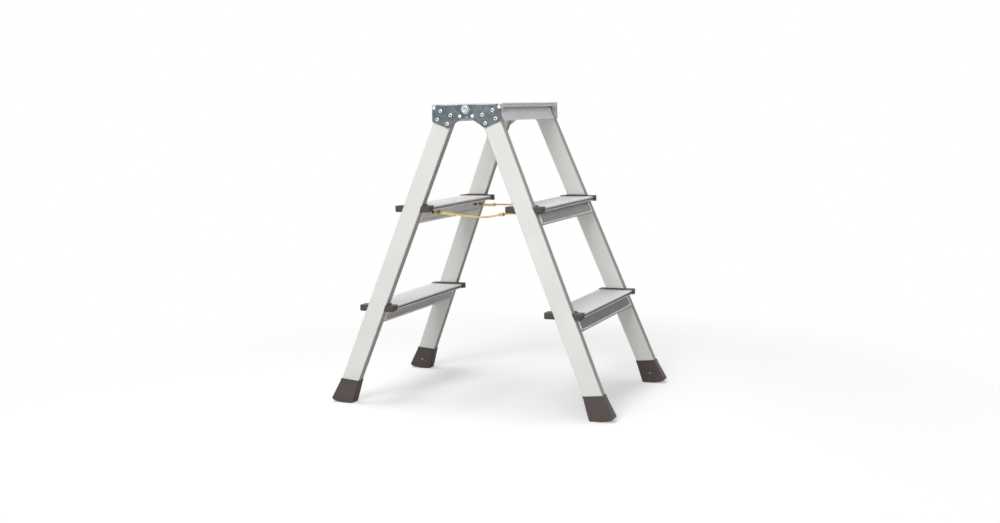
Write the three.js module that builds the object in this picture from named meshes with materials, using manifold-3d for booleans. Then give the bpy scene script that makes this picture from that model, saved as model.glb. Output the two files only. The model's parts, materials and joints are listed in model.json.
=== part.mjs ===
// A double-sided folding step ladder: two welded aluminium frames with three treads each,
// hinged together at the top and tied by two ropes. Millimetres, +Z up, origin on the floor
// at the middle of the stand. X runs from the left frame to the right frame, Y along the treads.
import * as THREE from "three";
import { mergeVertices } from "three/addons/utils/BufferGeometryUtils.js";
import Module from "manifold-3d";

const wasm = await Module();
wasm.setup();

// ---- driving dimensions -------------------------------------------------------------------

const LOWEST_TREAD = 216; // top of the bottom tread above the floor
const TREAD_RISE = 216; // from one tread to the next
const RISES = 2; // steps between the bottom tread and the top
const LEAN = THREE.MathUtils.degToRad(21.9); // each frame from upright when the ladder stands open
const FOOT_WIDTH = 413; // over the stiles, at the floor
const TOP_WIDTH = 336; // over the stiles, at the top

const STILE_FACE = 40; // wide side of the stile's section
const STILE_THICKNESS = 21; // narrow side
const STILE_WALL = 1.6;
const STILE_CORNER = 2.4;
const STILE_LIFT = 8; // lower end of the stile above the floor, inside its foot

const TREAD_DEPTH = 79;
const TREAD_HEIGHT = 37;
const TREAD_PLATE = 2.5;
const TREAD_WALL = 2;
const TREAD_SETBACK = 0.5; // the treads lie this far outside the stiles' centreline
const NOSE_HEIGHT = 9.4;
const NOSE_DEPTH = 9;
const NOSE_WALL = 2;
const NOSE_GROOVE = { top: 3.4, bottom: 7.2, depth: 2.2 }; // in the nosing's outer face
const LIP_HEIGHT = 5; // of the thicker band at the foot of each tread wall
const LIP_REACH = 2.2; // how far it stands out from the wall
const CENTRE_GAP = 1.6; // between the two halves of the top tread

const CAP_RISE = 1.5; // the end cap's rail above the tread
const CAP_MIDDLE_RISE = 3.8; // the rail where it passes the stile
const CAP_MIDDLE_MARGIN = 5; // how far the higher part runs past the stile
const CAP_RAIL = 4; // how far the rail reaches onto the tread
const CAP_TONGUE = 9; // how deep the cap plugs into the nosing
const CAP_LIP = 1.2; // how far the cap stands out past the nosings at both ends
const CAP_HEIGHT = { inner: 10.2, outer: 12 }; // of the blocks, below the tread's top
const CAP_CHAMFER = 0.8;

const FOOT_HEIGHT = 52; // upper edge of the shoe, where it crosses the stile's middle
const FOOT_TILT = THREE.MathUtils.degToRad(4.8); // the upper edge rises outwards
const FOOT_RIM = 1.4; // wall of the shoe at its upper edge
const FOOT_FLARE = 6.5; // how far the shoe grows beyond the stile in front and behind, at the floor
const FOOT_SIDE_FLARE = 3; // and across its thickness
const FOOT_TOE = 3;
// The sole leaves the floor towards the heel: distance inside the heel, height above the floor.
const FOOT_HEEL = [[26.5, 0], [8.5, 3.2], [2.6, 5.8], [0, 9]];
const FOOT_RIVET_HEIGHT = 23;

const PIVOT_DROP = 12.6; // hinge axis below the top tread
const PLATE_THICKNESS = 2.5;
const PLATE_SETBACK = 1.6; // plate's outer edge inside the top tread's outer edge
const PLATE_TOP = 9; // plate's upper edge above the axis
const PLATE_DROP = 24.3; // outer edge's lower corner below the axis
const PLATE_POINT_INSET = 8.4; // plate's lowest point outside the stile's inner edge
const PLATE_NECK = [16.2, -21.8]; // where the lower edge bends towards the arm
const PLATE_ARM = { reach: 18, low: -3.3, high: 3.8, top: 13 }; // the plate's end past the axis
const PLATE_CORNER = 2;
const JOGGLE_START = 19; // the outer plate steps over the inner one between these distances
const JOGGLE_END = 24.5;

const PIN_RADIUS = 5;
const PIN_DISH = 5.4; // radius of the hollow in the pin's outer head
const PIN_HEAD_RADIUS = 7.2;
const PIN_HEAD = 1.7;
const WASHER_RADIUS = 10.3;
const WASHER_THICKNESS = 1.2;

const STILE_RIVET_SPREAD = 25; // across the stile
const STILE_RIVET_ROW = 24.3; // first row from the axis, along the stile
const STILE_RIVET_PITCH = 19; // second row from the first
const TUBE_RIVET = { shank: 2.6, bore: 1.6, head: 4.2, rise: 1.2, depth: 8 };
const NOSE_RIVET = { shank: 2.2, head: 4.2, rise: 2, depth: 10, inset: 5.8, z: 3.6 };
const NECK_RIVET = { shank: 2.2, head: 4.2, rise: 2, depth: 4.2, x: 14.8, z: -14.4 };
const FOOT_RIVET = { shank: 1.5, head: 2.5, rise: 1.1, depth: 5 };

const ROPE_RADIUS = 2.1;
const ROPE_Y = 115.5; // the ropes' distance from the middle of the treads
const ANCHOR_DEPTH = 17; // rope holes below the tread's top
const ANCHOR_REACH = 14; // each rope swings from here, measured from the wall with its hole
const ANCHOR_KNOT = 3.3; // radius of the rope's knot at that place
const EYELET = { bore: 3.6, barrel: 4.6, flange: 6.2, rise: 0.9, past: 1 };
const ROPE_WASHER = { radius: 6, thickness: 1.6 };
const STOP_KNOT = 5.5; // radius of the knot behind each hole
// Each rope from its anchor inwards: distance from the anchor, height above it.
const NEAR_ROPE_LEFT = [[0, 0], [7, 0.2], [24, -1.6], [42, -4.6], [60, -6.4], [78, -8.2]];
const NEAR_ROPE_RIGHT = [[0, 0], [13, -0.4], [27, -1], [40, -2.2], [52, -4], [75, -8.3]];
const NEAR_ROPE_MIDDLE = -9.6;
const FAR_ROPE = [[0, 0], [12, -0.1], [30, -0.3], [50, -0.4], [75, -0.5]];
const FAR_ROPE_MIDDLE = -0.5;

const CLEARANCE = 0.3; // between pieces that touch on the real ladder
const LAP = 0.5; // shapes that become one solid run this far into each other
const ROUND = 20; // sides of a round piece
const SMALL_ROUND = 10;
const ROPE_SIDES = 8;

// ---- derived places -----------------------------------------------------------------------

const TOP = LOWEST_TREAD + RISES * TREAD_RISE;
const PIVOT_Z = TOP - PIVOT_DROP;
const SLOPE = Math.tan(LEAN);
const TAPER = (FOOT_WIDTH - TOP_WIDTH) / 2 / TOP;
const SPLAY = Math.atan(TAPER);
const HALF_FACE = STILE_FACE / 2 / Math.cos(LEAN); // half of the stile's level width
const FOOT_LOW_RIM = FOOT_HEIGHT - (HALF_FACE + FOOT_RIM) * Math.tan(FOOT_TILT);
const FOOT_HIGH_RIM = FOOT_HEIGHT + (HALF_FACE + FOOT_RIM) * Math.tan(FOOT_TILT);
const TREAD_TOPS = { bottom: LOWEST_TREAD, middle: LOWEST_TREAD + TREAD_RISE, top: TOP };
const SIDES = [["left", -1], ["right", 1]];
const ENDS = [["near", -1], ["far", 1]];
const TOP_TREAD_X = CENTRE_GAP / 2 + TREAD_DEPTH / 2;
const NOSE_RIVET_X = TOP_TREAD_X + TREAD_DEPTH / 2 - NOSE_RIVET.inset;

// Distances from the middle of the ladder, at a height above the floor.
const stileX = (z) => TOP_TREAD_X - TREAD_SETBACK + (TOP - z) * SLOPE;
const outerY = (z) => TOP_WIDTH / 2 + (TOP - z) * TAPER;
const innerY = (z) => outerY(z) - STILE_THICKNESS / Math.cos(SPLAY);
const treadX = (z) => stileX(z) + TREAD_SETBACK;
const PLATE_REACH = TOP_TREAD_X + TREAD_DEPTH / 2 - PLATE_SETBACK;
const PLATE_POINT = stileX(PIVOT_Z - PLATE_DROP) - HALF_FACE + PLATE_POINT_INSET;

// ---- solids: join and cut -----------------------------------------------------------------

function solid(geometry) {
  const bare = geometry.clone();
  bare.deleteAttribute("normal");
  bare.deleteAttribute("uv");
  const merged = mergeVertices(bare, 1e-4);
  return new wasm.Manifold(
    new wasm.Mesh({
      numProp: 3,
      vertProperties: merged.attributes.position.array,
      triVerts: new Uint32Array(merged.index.array),
    }),
  );
}

function geometryOf(body) {
  const mesh = body.getMesh();
  const points = new Float32Array(mesh.numVert * 3);
  for (let i = 0; i < mesh.numVert; i++) {
    points.set(mesh.vertProperties.subarray(i * mesh.numProp, i * mesh.numProp + 3), i * 3);
  }
  const geometry = new THREE.BufferGeometry();
  geometry.setAttribute("position", new THREE.BufferAttribute(points, 3));
  geometry.setIndex(new THREE.BufferAttribute(mesh.triVerts, 1));
  const flat = geometry.toNonIndexed();
  flat.computeVertexNormals();
  return flat;
}

const join = (...parts) => parts.map(solid).reduce((a, b) => a.add(b));

function box(x0, x1, y0, y1, z0, z1) {
  const geometry = new THREE.BoxGeometry(x1 - x0, y1 - y0, z1 - z0);
  return geometry.translate((x0 + x1) / 2, (y0 + y1) / 2, (z0 + z1) / 2);
}

// Outlines are lists of points, or a shape where they have round stretches.
function shapeOf(outline) {
  if (outline instanceof THREE.Shape) return outline;
  return new THREE.Shape(outline.map(([a, b]) => new THREE.Vector2(a, b)));
}

// The same outline with each corner rounded.
function roundedOutline(points, radius) {
  const shape = new THREE.Shape();
  points.forEach((point, i) => {
    const corner = new THREE.Vector2(...point);
    const before = new THREE.Vector2(...points.at(i - 1));
    const after = new THREE.Vector2(...points[(i + 1) % points.length]);
    const start = before.sub(corner).setLength(radius).add(corner);
    const end = after.sub(corner).setLength(radius).add(corner);
    if (i === 0) shape.moveTo(start.x, start.y);
    else shape.lineTo(start.x, start.y);
    shape.quadraticCurveTo(corner.x, corner.y, end.x, end.y);
  });
  return shape;
}

// An outline in X and Z, extruded along Y from y0 to y1.
function alongY(outline, y0, y1) {
  const settings = { depth: y1 - y0, bevelEnabled: false, curveSegments: 4 };
  const geometry = new THREE.ExtrudeGeometry(shapeOf(outline), settings);
  return geometry.rotateX(Math.PI / 2).translate(0, y1, 0);
}

// An outline in Y and Z, extruded along X from x0 to x1.
function alongX(outline, x0, x1) {
  const settings = { depth: x1 - x0, bevelEnabled: false };
  const geometry = new THREE.ExtrudeGeometry(shapeOf(outline), settings);
  return geometry.rotateX(Math.PI / 2).rotateZ(Math.PI / 2).translate(x0, 0, 0);
}

// An outline in X and Y, extruded upwards from z0 to z1.
function alongZ(outline, z0, z1) {
  const settings = { depth: z1 - z0, bevelEnabled: false };
  const geometry = new THREE.ExtrudeGeometry(shapeOf(outline), settings);
  return geometry.translate(0, 0, z0);
}

// A round piece about the Y axis: the profile gives [radius, y] from one end of the axis to the other.
function turnedY(profile, sides = ROUND) {
  const points = profile.map(([radius, y]) => new THREE.Vector2(radius, y));
  return new THREE.LatheGeometry(points, sides);
}

const cylinderY = (radius, y0, y1, sides = SMALL_ROUND) =>
  turnedY([[0, y0], [radius, y0], [radius, y1], [0, y1]], sides);

const ring = (bore, radius, y0, y1, sides) =>
  turnedY([[bore, y0], [radius, y0], [radius, y1], [bore, y1], [bore, y0]], sides);

function roundedRectangle(width, height, radius) {
  const w = width / 2 - radius;
  const h = height / 2 - radius;
  const shape = new THREE.Shape();
  shape.absarc(w, h, radius, 0, Math.PI / 2);
  shape.absarc(-w, h, radius, Math.PI / 2, Math.PI);
  shape.absarc(-w, -h, radius, Math.PI, 1.5 * Math.PI);
  shape.absarc(w, -h, radius, 1.5 * Math.PI, 2 * Math.PI);
  shape.closePath();
  return shape;
}

// ---- materials ----------------------------------------------------------------------------

const aluminium = { color: 0xdcdcd8, roughness: 0.42, metalness: 0.75 };
const zincSteel = { color: 0x7d8488, roughness: 0.4, metalness: 0.9 };
const brightSteel = { color: 0xc9cdd0, roughness: 0.25, metalness: 1 };
const brownPlastic = { color: 0x3b302c, roughness: 0.55, metalness: 0 };
const yellowRope = { color: 0xd0ae45, roughness: 0.85, metalness: 0 };
const creamPlastic = { color: 0xe6dcc0, roughness: 0.5, metalness: 0 };

const ladder = new THREE.Group();

function add(name, body, look, place) {
  const geometry = body instanceof THREE.BufferGeometry ? body : geometryOf(body);
  const mesh = new THREE.Mesh(geometry, new THREE.MeshStandardMaterial(look));
  mesh.name = name;
  if (place.position) mesh.position.set(...place.position);
  if (place.scale) mesh.scale.set(...place.scale);
  ladder.add(mesh);
  return mesh;
}

// ---- stiles -------------------------------------------------------------------------------

// Pieces of one corner of the ladder are built for x > 0 and y > 0, y outwards, and mirrored.
// The stiles lean in X and draw together in Y; their wide faces stay parallel to X.
const stileLean = Math.atan(SLOPE * Math.cos(SPLAY));
const stileTurn = new THREE.Matrix4().makeRotationFromEuler(new THREE.Euler(SPLAY, -stileLean, 0));

// A prism along the stile's axis, past both of its ends.
function stilePrism(shape) {
  const reach = TOP / Math.cos(LEAN) + 2 * STILE_FACE;
  const geometry = new THREE.ExtrudeGeometry(shape, {
    depth: reach,
    bevelEnabled: false,
    curveSegments: 3,
  });
  geometry.translate(0, 0, -STILE_FACE).applyMatrix4(stileTurn);
  return geometry.translate(stileX(0), (outerY(0) + innerY(0)) / 2, 0);
}

function stileEnvelope(margin) {
  const width = STILE_FACE + 2 * margin;
  const depth = STILE_THICKNESS + 2 * margin;
  return solid(stilePrism(roundedRectangle(width, depth, STILE_CORNER + margin)));
}

// Where a point of the hinge plate lies: x and z from the axis.
function alongStile(distance, across) {
  const offset = stileX(PIVOT_Z) * Math.cos(LEAN) + across;
  return [
    offset * Math.cos(LEAN) + distance * Math.sin(LEAN),
    offset * Math.sin(LEAN) - distance * Math.cos(LEAN),
  ];
}

const stileRivets = [0, 1].flatMap((row) =>
  [-1, 1].map((edge) =>
    alongStile(STILE_RIVET_ROW + row * STILE_RIVET_PITCH, (edge * STILE_RIVET_SPREAD) / 2),
  ),
);

function buildStile() {
  const tube = roundedRectangle(STILE_FACE, STILE_THICKNESS, STILE_CORNER);
  const inside = roundedRectangle(
    STILE_FACE - 2 * STILE_WALL,
    STILE_THICKNESS - 2 * STILE_WALL,
    STILE_CORNER - STILE_WALL,
  );
  tube.holes.push(inside);
  const standing = box(0, TOP, 0, TOP, STILE_LIFT, TOP - TREAD_PLATE - CLEARANCE);
  let body = solid(stilePrism(tube)).intersect(solid(standing));
  for (const [x, z] of stileRivets) {
    const hole = cylinderY(TUBE_RIVET.shank + CLEARANCE, 0, STILE_THICKNESS);
    const middle = (outerY(PIVOT_Z + z) + innerY(PIVOT_Z + z)) / 2;
    body = body.subtract(solid(hole.translate(x, middle, PIVOT_Z + z)));
  }
  const footHole = cylinderY(FOOT_RIVET.shank + CLEARANCE, -STILE_THICKNESS, 0);
  return body.subtract(solid(footHole.translate(...footRivetPlace())));
}

// ---- treads -------------------------------------------------------------------------------

// The walls stand in line with the stiles' narrow faces, so they lean as the stiles do.
// Depths are below the tread's top; x is from the tread's middle, outwards.
const wallX = (depth, edge) => -TREAD_SETBACK + depth * SLOPE + edge * HALF_FACE;

function treadOutline() {
  const half = TREAD_DEPTH / 2;
  const wall = TREAD_WALL / Math.cos(LEAN);
  const { top, bottom, depth } = NOSE_GROOVE;
  const hollow = half - depth - NOSE_WALL;
  const nose = (side) => [
    [side * half, 0],
    [side * half, -top],
    [side * (half - depth), -top],
    [side * (half - depth), -bottom],
    [side * half, -bottom],
    [side * half, -NOSE_HEIGHT],
    [side * (half - NOSE_DEPTH), -NOSE_HEIGHT],
    [side * (half - NOSE_DEPTH), -NOSE_HEIGHT + NOSE_WALL],
    [side * hollow, -NOSE_HEIGHT + NOSE_WALL],
    [side * hollow, -TREAD_PLATE],
  ];
  const leg = (edge) => {
    const lip = TREAD_HEIGHT - LIP_HEIGHT;
    return [
      [wallX(TREAD_PLATE, edge), -TREAD_PLATE],
      [wallX(lip, edge), -lip],
      [wallX(lip, edge) + edge * LIP_REACH, -lip],
      [wallX(TREAD_HEIGHT, edge) + edge * LIP_REACH, -TREAD_HEIGHT],
      [wallX(TREAD_HEIGHT, edge) - edge * wall, -TREAD_HEIGHT],
      [wallX(TREAD_PLATE, edge) - edge * wall, -TREAD_PLATE],
    ];
  };
  return [...nose(1), ...leg(1), ...leg(-1).reverse(), ...nose(-1).reverse()];
}

// The treads' ends are cut parallel to the stiles' inner faces.
function betweenStiles(top) {
  const upper = innerY(top) - CLEARANCE;
  const lower = innerY(top - TREAD_HEIGHT) - CLEARANCE;
  const outline = [[-upper, 0], [-lower, -TREAD_HEIGHT], [lower, -TREAD_HEIGHT], [upper, 0]];
  return solid(alongX(outline, -TREAD_DEPTH, TREAD_DEPTH));
}

function buildTread(top) {
  return solid(alongY(treadOutline(), -outerY(0), outerY(0))).intersect(betweenStiles(top));
}

// The top halves reach over the stiles' upper ends to their outer faces: the plate everywhere, and
// the outer nosing. The walls and the nosing at the hinge stop between the stiles.
function buildTopTread() {
  const end = TOP_WIDTH / 2;
  const half = TREAD_DEPTH / 2;
  const full = solid(alongY(treadOutline(), -end, end));
  const plate = box(-half, half, -end, end, -TREAD_PLATE, 0);
  const nose = box(half - NOSE_DEPTH, half, -end, end, -NOSE_HEIGHT, 0);
  let tread = full
    .intersect(betweenStiles(TOP))
    .add(full.intersect(solid(plate)))
    .add(full.intersect(solid(nose)));
  // A block in each end of the nosing takes the hinge plate's rivet.
  const rivetZ = NOSE_RIVET.z - PIVOT_DROP;
  const low = rivetZ - 2 * NOSE_RIVET.shank;
  for (const side of [-1, 1]) {
    const inner = side * (end - NOSE_RIVET.depth - NOSE_WALL);
    const y = [inner, side * end].sort((a, b) => a - b);
    const hole = cylinderY(NOSE_RIVET.shank + CLEARANCE, ...y);
    tread = tread
      .add(solid(box(half - NOSE_DEPTH, half - NOSE_GROOVE.depth, ...y, low, 0)))
      .subtract(solid(hole.translate(NOSE_RIVET_X - TOP_TREAD_X, 0, rivetZ)));
  }
  return tread;
}

// Turns a piece built about the Y axis so that it points from a tread's inner wall to the hinge side.
const facingHinge = (geometry) => geometry.rotateZ(Math.PI / 2).rotateY(-LEAN);

function ropeHole(y) {
  const radius = EYELET.barrel + CLEARANCE;
  const hole = new THREE.CylinderGeometry(radius, radius, 3 * TREAD_WALL, SMALL_ROUND);
  return facingHinge(hole).translate(wallX(ANCHOR_DEPTH, -1), y, -ANCHOR_DEPTH);
}

function addTreads() {
  for (const [level, z] of Object.entries(TREAD_TOPS)) {
    let body = level === "top" ? buildTopTread() : buildTread(z);
    if (level === "middle") {
      for (const y of [-ROPE_Y, ROPE_Y]) body = body.subtract(solid(ropeHole(y)));
    }
    for (const [name, side] of SIDES) {
      add(`tread_${name}_${level}`, body, aluminium, {
        position: [side * treadX(z), 0, z],
        scale: [side, 1, 1],
      });
    }
  }
}

// ---- end caps of the middle and bottom treads -----------------------------------------------

// A block plugs each open end of the nosing, level with the stile's outer face; a low rail along the
// tread joins the two blocks round the stile.
function buildCap(top) {
  const half = TREAD_DEPTH / 2;
  const middle = treadX(top);
  const start = middle - half - CAP_LIP;
  const end = middle + half + CAP_LIP;
  const outer = outerY(top);
  const blocks = alongX([
    [innerY(top + CAP_RISE), top + CAP_RISE],
    [outer - CAP_CHAMFER, top + CAP_RISE],
    [outer, top + CAP_RISE - CAP_CHAMFER],
    [outer, top - CAP_HEIGHT.outer],
    [innerY(top - CAP_HEIGHT.inner), top - CAP_HEIGHT.inner],
  ], start, end);
  const corners = alongZ([
    [start, 0],
    [end, 0],
    [end, outer - CAP_CHAMFER],
    [end - CAP_CHAMFER, outer],
    [start + CAP_CHAMFER, outer],
    [start, outer - CAP_CHAMFER],
  ], 0, TOP);
  const railStart = innerY(top) - CAP_RAIL;
  const railEnd = innerY(top) + CAP_RAIL / 2;
  const rail = box(start, end, railStart, railEnd, top, top + CAP_RISE);
  const reach = HALF_FACE + CAP_MIDDLE_MARGIN;
  const hump = alongY([
    [stileX(top) - reach, top],
    [stileX(top) + reach, top],
    [stileX(top) + reach - CAP_MIDDLE_MARGIN / 2, top + CAP_MIDDLE_RISE],
    [stileX(top) - reach + CAP_MIDDLE_MARGIN / 2, top + CAP_MIDDLE_RISE],
  ], railStart, railEnd);
  const tongue = (side) => {
    const a = middle + side * (half - NOSE_DEPTH + CLEARANCE);
    const b = middle + side * (half - NOSE_GROOVE.depth - NOSE_WALL - CLEARANCE);
    const low = top - NOSE_HEIGHT + NOSE_WALL + CLEARANCE;
    const high = top - TREAD_PLATE - CLEARANCE;
    return box(Math.min(a, b), Math.max(a, b), innerY(top) - CAP_TONGUE, innerY(top) + LAP * 2, low, high);
  };
  return join(blocks, tongue(-1), tongue(1))
    .add(join(rail, hump))
    .intersect(solid(corners))
    .subtract(stileEnvelope(CLEARANCE));
}

// ---- feet -----------------------------------------------------------------------------------

// Shoes on the leaning stiles, flared towards the floor, with a level sole that turns up at the heel.
function buildFoot() {
  const toeX = stileX(0) - HALF_FACE - FOOT_FLARE;
  const heelX = stileX(FOOT_HEEL.at(-1)[1]) + HALF_FACE + FOOT_FLARE;
  const side = [
    [stileX(FOOT_LOW_RIM) - HALF_FACE - FOOT_RIM, FOOT_LOW_RIM],
    [toeX, FOOT_TOE],
    [toeX + FOOT_TOE, 0],
    ...FOOT_HEEL.map(([inside, height]) => [heelX - inside, height]),
    [stileX(FOOT_HIGH_RIM) + HALF_FACE + FOOT_RIM, FOOT_HIGH_RIM],
  ];
  const across = [
    [innerY(0) - FOOT_SIDE_FLARE, 0],
    [outerY(0) + FOOT_SIDE_FLARE, 0],
    [outerY(FOOT_HIGH_RIM) + FOOT_RIM, FOOT_HIGH_RIM],
    [innerY(FOOT_HIGH_RIM) - FOOT_RIM, FOOT_HIGH_RIM],
  ];
  const shoe = solid(alongY(side, 0, FOOT_WIDTH)).intersect(solid(alongX(across, 0, FOOT_WIDTH)));
  const socket = stileEnvelope(CLEARANCE).intersect(
    solid(box(0, FOOT_WIDTH, 0, FOOT_WIDTH, STILE_LIFT, TOP)),
  );
  const hole = cylinderY(FOOT_RIVET.shank + CLEARANCE, -STILE_THICKNESS, 0);
  return shoe.subtract(socket).subtract(solid(hole.translate(...footRivetPlace())));
}

// The middle of the stile where its foot rivet sits.
function footRivetPlace() {
  const z = FOOT_RIVET_HEIGHT;
  return [stileX(z), (outerY(z) + innerY(z)) / 2, z];
}

function footInnerY(z) {
  const low = innerY(0) - FOOT_SIDE_FLARE;
  const high = innerY(FOOT_HIGH_RIM) - FOOT_RIM;
  return low + ((high - low) * z) / FOOT_HIGH_RIM;
}

// ---- hinge ----------------------------------------------------------------------------------

// Both plates of a hinge lie on their stiles. Their arms overlap at the pin: one is level with the
// plates and the other steps over it.
const plateY = (z) => outerY(PIVOT_Z + z) + CLEARANCE;
const armY = (outer) => plateY(0) + (outer ? PLATE_THICKNESS + CLEARANCE : 0);

function plateOutline() {
  const point = -PLATE_DROP - (PLATE_REACH - PLATE_POINT) * SLOPE;
  const edge = roundedOutline([
    [-PLATE_ARM.top, PLATE_TOP],
    [-PLATE_ARM.reach, PLATE_ARM.high],
    [-PLATE_ARM.reach, PLATE_ARM.low],
    PLATE_NECK,
    [PLATE_POINT, point],
    [PLATE_REACH, -PLATE_DROP],
    [PLATE_REACH, PLATE_TOP],
  ], PLATE_CORNER);
  return solid(alongY(edge, 0, FOOT_WIDTH));
}

// The plate's slab over a stretch in x, following the stile's outer face.
function leaningSlab(x0, x1) {
  const z0 = -TREAD_DEPTH;
  const z1 = TREAD_DEPTH;
  return alongX([
    [plateY(z0), z0],
    [plateY(z0) + PLATE_THICKNESS, z0],
    [plateY(z1) + PLATE_THICKNESS, z1],
    [plateY(z1), z1],
  ], x0, x1);
}

function buildPlate(outer) {
  const arm = armY(outer);
  const flat = outer ? JOGGLE_START : JOGGLE_END;
  const upright = box(-TREAD_DEPTH, flat + LAP, arm, arm + PLATE_THICKNESS, -TREAD_DEPTH, TREAD_DEPTH);
  let slab = join(leaningSlab(JOGGLE_END - LAP, TREAD_DEPTH), upright);
  if (outer) {
    const foot = plateY((PLATE_TOP + PLATE_NECK[1]) / 2);
    slab = slab.add(solid(alongZ([
      [JOGGLE_START, arm],
      [JOGGLE_END, foot],
      [JOGGLE_END, foot + PLATE_THICKNESS],
      [JOGGLE_START, arm + PLATE_THICKNESS],
    ], -TREAD_DEPTH, TREAD_DEPTH)));
  }
  let plate = slab.intersect(plateOutline());
  plate = plate.subtract(solid(cylinderY(PIN_RADIUS + CLEARANCE, 0, FOOT_WIDTH, ROUND)));
  for (const [x, rivet] of [[NOSE_RIVET_X, NOSE_RIVET], [NECK_RIVET.x, NECK_RIVET]]) {
    const hole = cylinderY(rivet.shank + CLEARANCE, 0, FOOT_WIDTH);
    plate = plate.subtract(solid(hole.translate(x, 0, rivet.z)));
  }
  for (const [x, z] of stileRivets) {
    const bore = cylinderY(TUBE_RIVET.bore, 0, FOOT_WIDTH);
    const face = plateY(z) + PLATE_THICKNESS;
    plate = plate
      .subtract(solid(bore.translate(x, 0, z)))
      .add(solid(tubeRivet().translate(x, face, z)));
  }
  return plate;
}

// A tubular rivet swaged into the plate: y = 0 is the plate's outer face.
function tubeRivet() {
  const { shank, bore, head, rise, depth } = TUBE_RIVET;
  return turnedY([
    [bore, -depth],
    [shank, -depth],
    [shank, -LAP],
    [head, -LAP],
    [head, rise / 2],
    [(head + bore) / 2, rise],
    [bore, rise / 2],
    [bore, -depth],
  ], SMALL_ROUND);
}

// A solid rivet with a domed head: y = 0 is under the head.
function domedRivet({ shank, head, rise, depth }, tail = 0) {
  const profile = [[0, -depth]];
  if (tail) profile.push([head - tail, -depth], [head - tail, -depth + tail]);
  profile.push([shank, -depth + tail], [shank, 0], [head, 0], [head, rise / 4]);
  profile.push([head * 0.75, rise * 0.75], [head * 0.35, rise], [0, rise]);
  return turnedY(profile, SMALL_ROUND);
}

function hingePin() {
  const inner = armY(false) - CLEARANCE;
  const outer = armY(true) + PLATE_THICKNESS + WASHER_THICKNESS + 2 * CLEARANCE;
  const rim = (PIN_HEAD_RADIUS + PIN_DISH) / 2;
  return turnedY([
    [0, inner - PIN_HEAD],
    [PIN_HEAD_RADIUS, inner - PIN_HEAD],
    [PIN_HEAD_RADIUS, inner],
    [PIN_RADIUS, inner],
    [PIN_RADIUS, outer],
    [PIN_HEAD_RADIUS, outer],
    [PIN_HEAD_RADIUS, outer + PIN_HEAD / 2],
    [rim, outer + PIN_HEAD],
    [PIN_DISH, outer + PIN_HEAD / 2],
    [0, outer + PIN_HEAD / 2],
  ]);
}

function hingeWasher() {
  const face = armY(true) + PLATE_THICKNESS + CLEARANCE;
  return ring(PIN_RADIUS + CLEARANCE, WASHER_RADIUS, face, face + WASHER_THICKNESS);
}

// ---- ropes ----------------------------------------------------------------------------------

const ROPE_LEVEL = TREAD_TOPS.middle - ANCHOR_DEPTH;
const HOLE_X = treadX(TREAD_TOPS.middle) + wallX(ANCHOR_DEPTH, -1);
const ANCHOR_X = HOLE_X - ANCHOR_REACH;
const ROPE_END_X = ANCHOR_X + ANCHOR_KNOT + CLEARANCE;

function ropeTube(points) {
  const path = new THREE.CatmullRomCurve3(points.map(([x, z]) => new THREE.Vector3(x, 0, z)));
  const section = new THREE.Shape();
  section.absarc(0, 0, ROPE_RADIUS, 0, 2 * Math.PI);
  const steps = Math.max(2, Math.round(path.getLength() / (5 * ROPE_RADIUS)));
  return new THREE.ExtrudeGeometry(section, {
    extrudePath: path,
    steps,
    curveSegments: ROPE_SIDES,
    bevelEnabled: false,
  });
}

const ball = (radius) => new THREE.SphereGeometry(radius, SMALL_ROUND, ROPE_SIDES);

// The swinging half of a rope, from the knot at its anchor to the ladder's middle plane.
function ropeHalf(route, middle) {
  const points = route.map(([x, z]) => [ANCHOR_X - x, ROPE_LEVEL + z]);
  points.push([CLEARANCE / 2, ROPE_LEVEL + middle]);
  const knot = ball(ANCHOR_KNOT).translate(ANCHOR_X, 0, ROPE_LEVEL);
  return join(ropeTube(points), knot);
}

// The short end that stays with the tread, from the stop knot in the tread to the anchor.
function ropeEnd() {
  const knotX = HOLE_X + (TREAD_WALL + EYELET.past + CLEARANCE + STOP_KNOT) / Math.cos(LEAN);
  const stem = ropeTube([[knotX, ROPE_LEVEL], [HOLE_X, ROPE_LEVEL], [ROPE_END_X, ROPE_LEVEL]]);
  return join(stem, ball(STOP_KNOT).translate(knotX, 0, ROPE_LEVEL));
}

function eyelet() {
  const { bore, barrel, flange, rise, past } = EYELET;
  const turned = turnedY([
    [bore, -TREAD_WALL - past],
    [barrel, -TREAD_WALL - past],
    [barrel, CLEARANCE],
    [flange, CLEARANCE],
    [flange, CLEARANCE + rise / 2],
    [(flange + bore) / 2, CLEARANCE + rise],
    [bore, CLEARANCE + rise / 2],
    [bore, -TREAD_WALL - past],
  ], SMALL_ROUND);
  return facingHinge(turned).translate(HOLE_X, 0, ROPE_LEVEL);
}

function ropeWasher() {
  const face = ring(ROPE_RADIUS + CLEARANCE, ROPE_WASHER.radius, 0, ROPE_WASHER.thickness, SMALL_ROUND);
  return face.rotateZ(-Math.PI / 2).translate(ROPE_END_X, 0, ROPE_LEVEL);
}

// ---- the ladder -----------------------------------------------------------------------------

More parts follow.
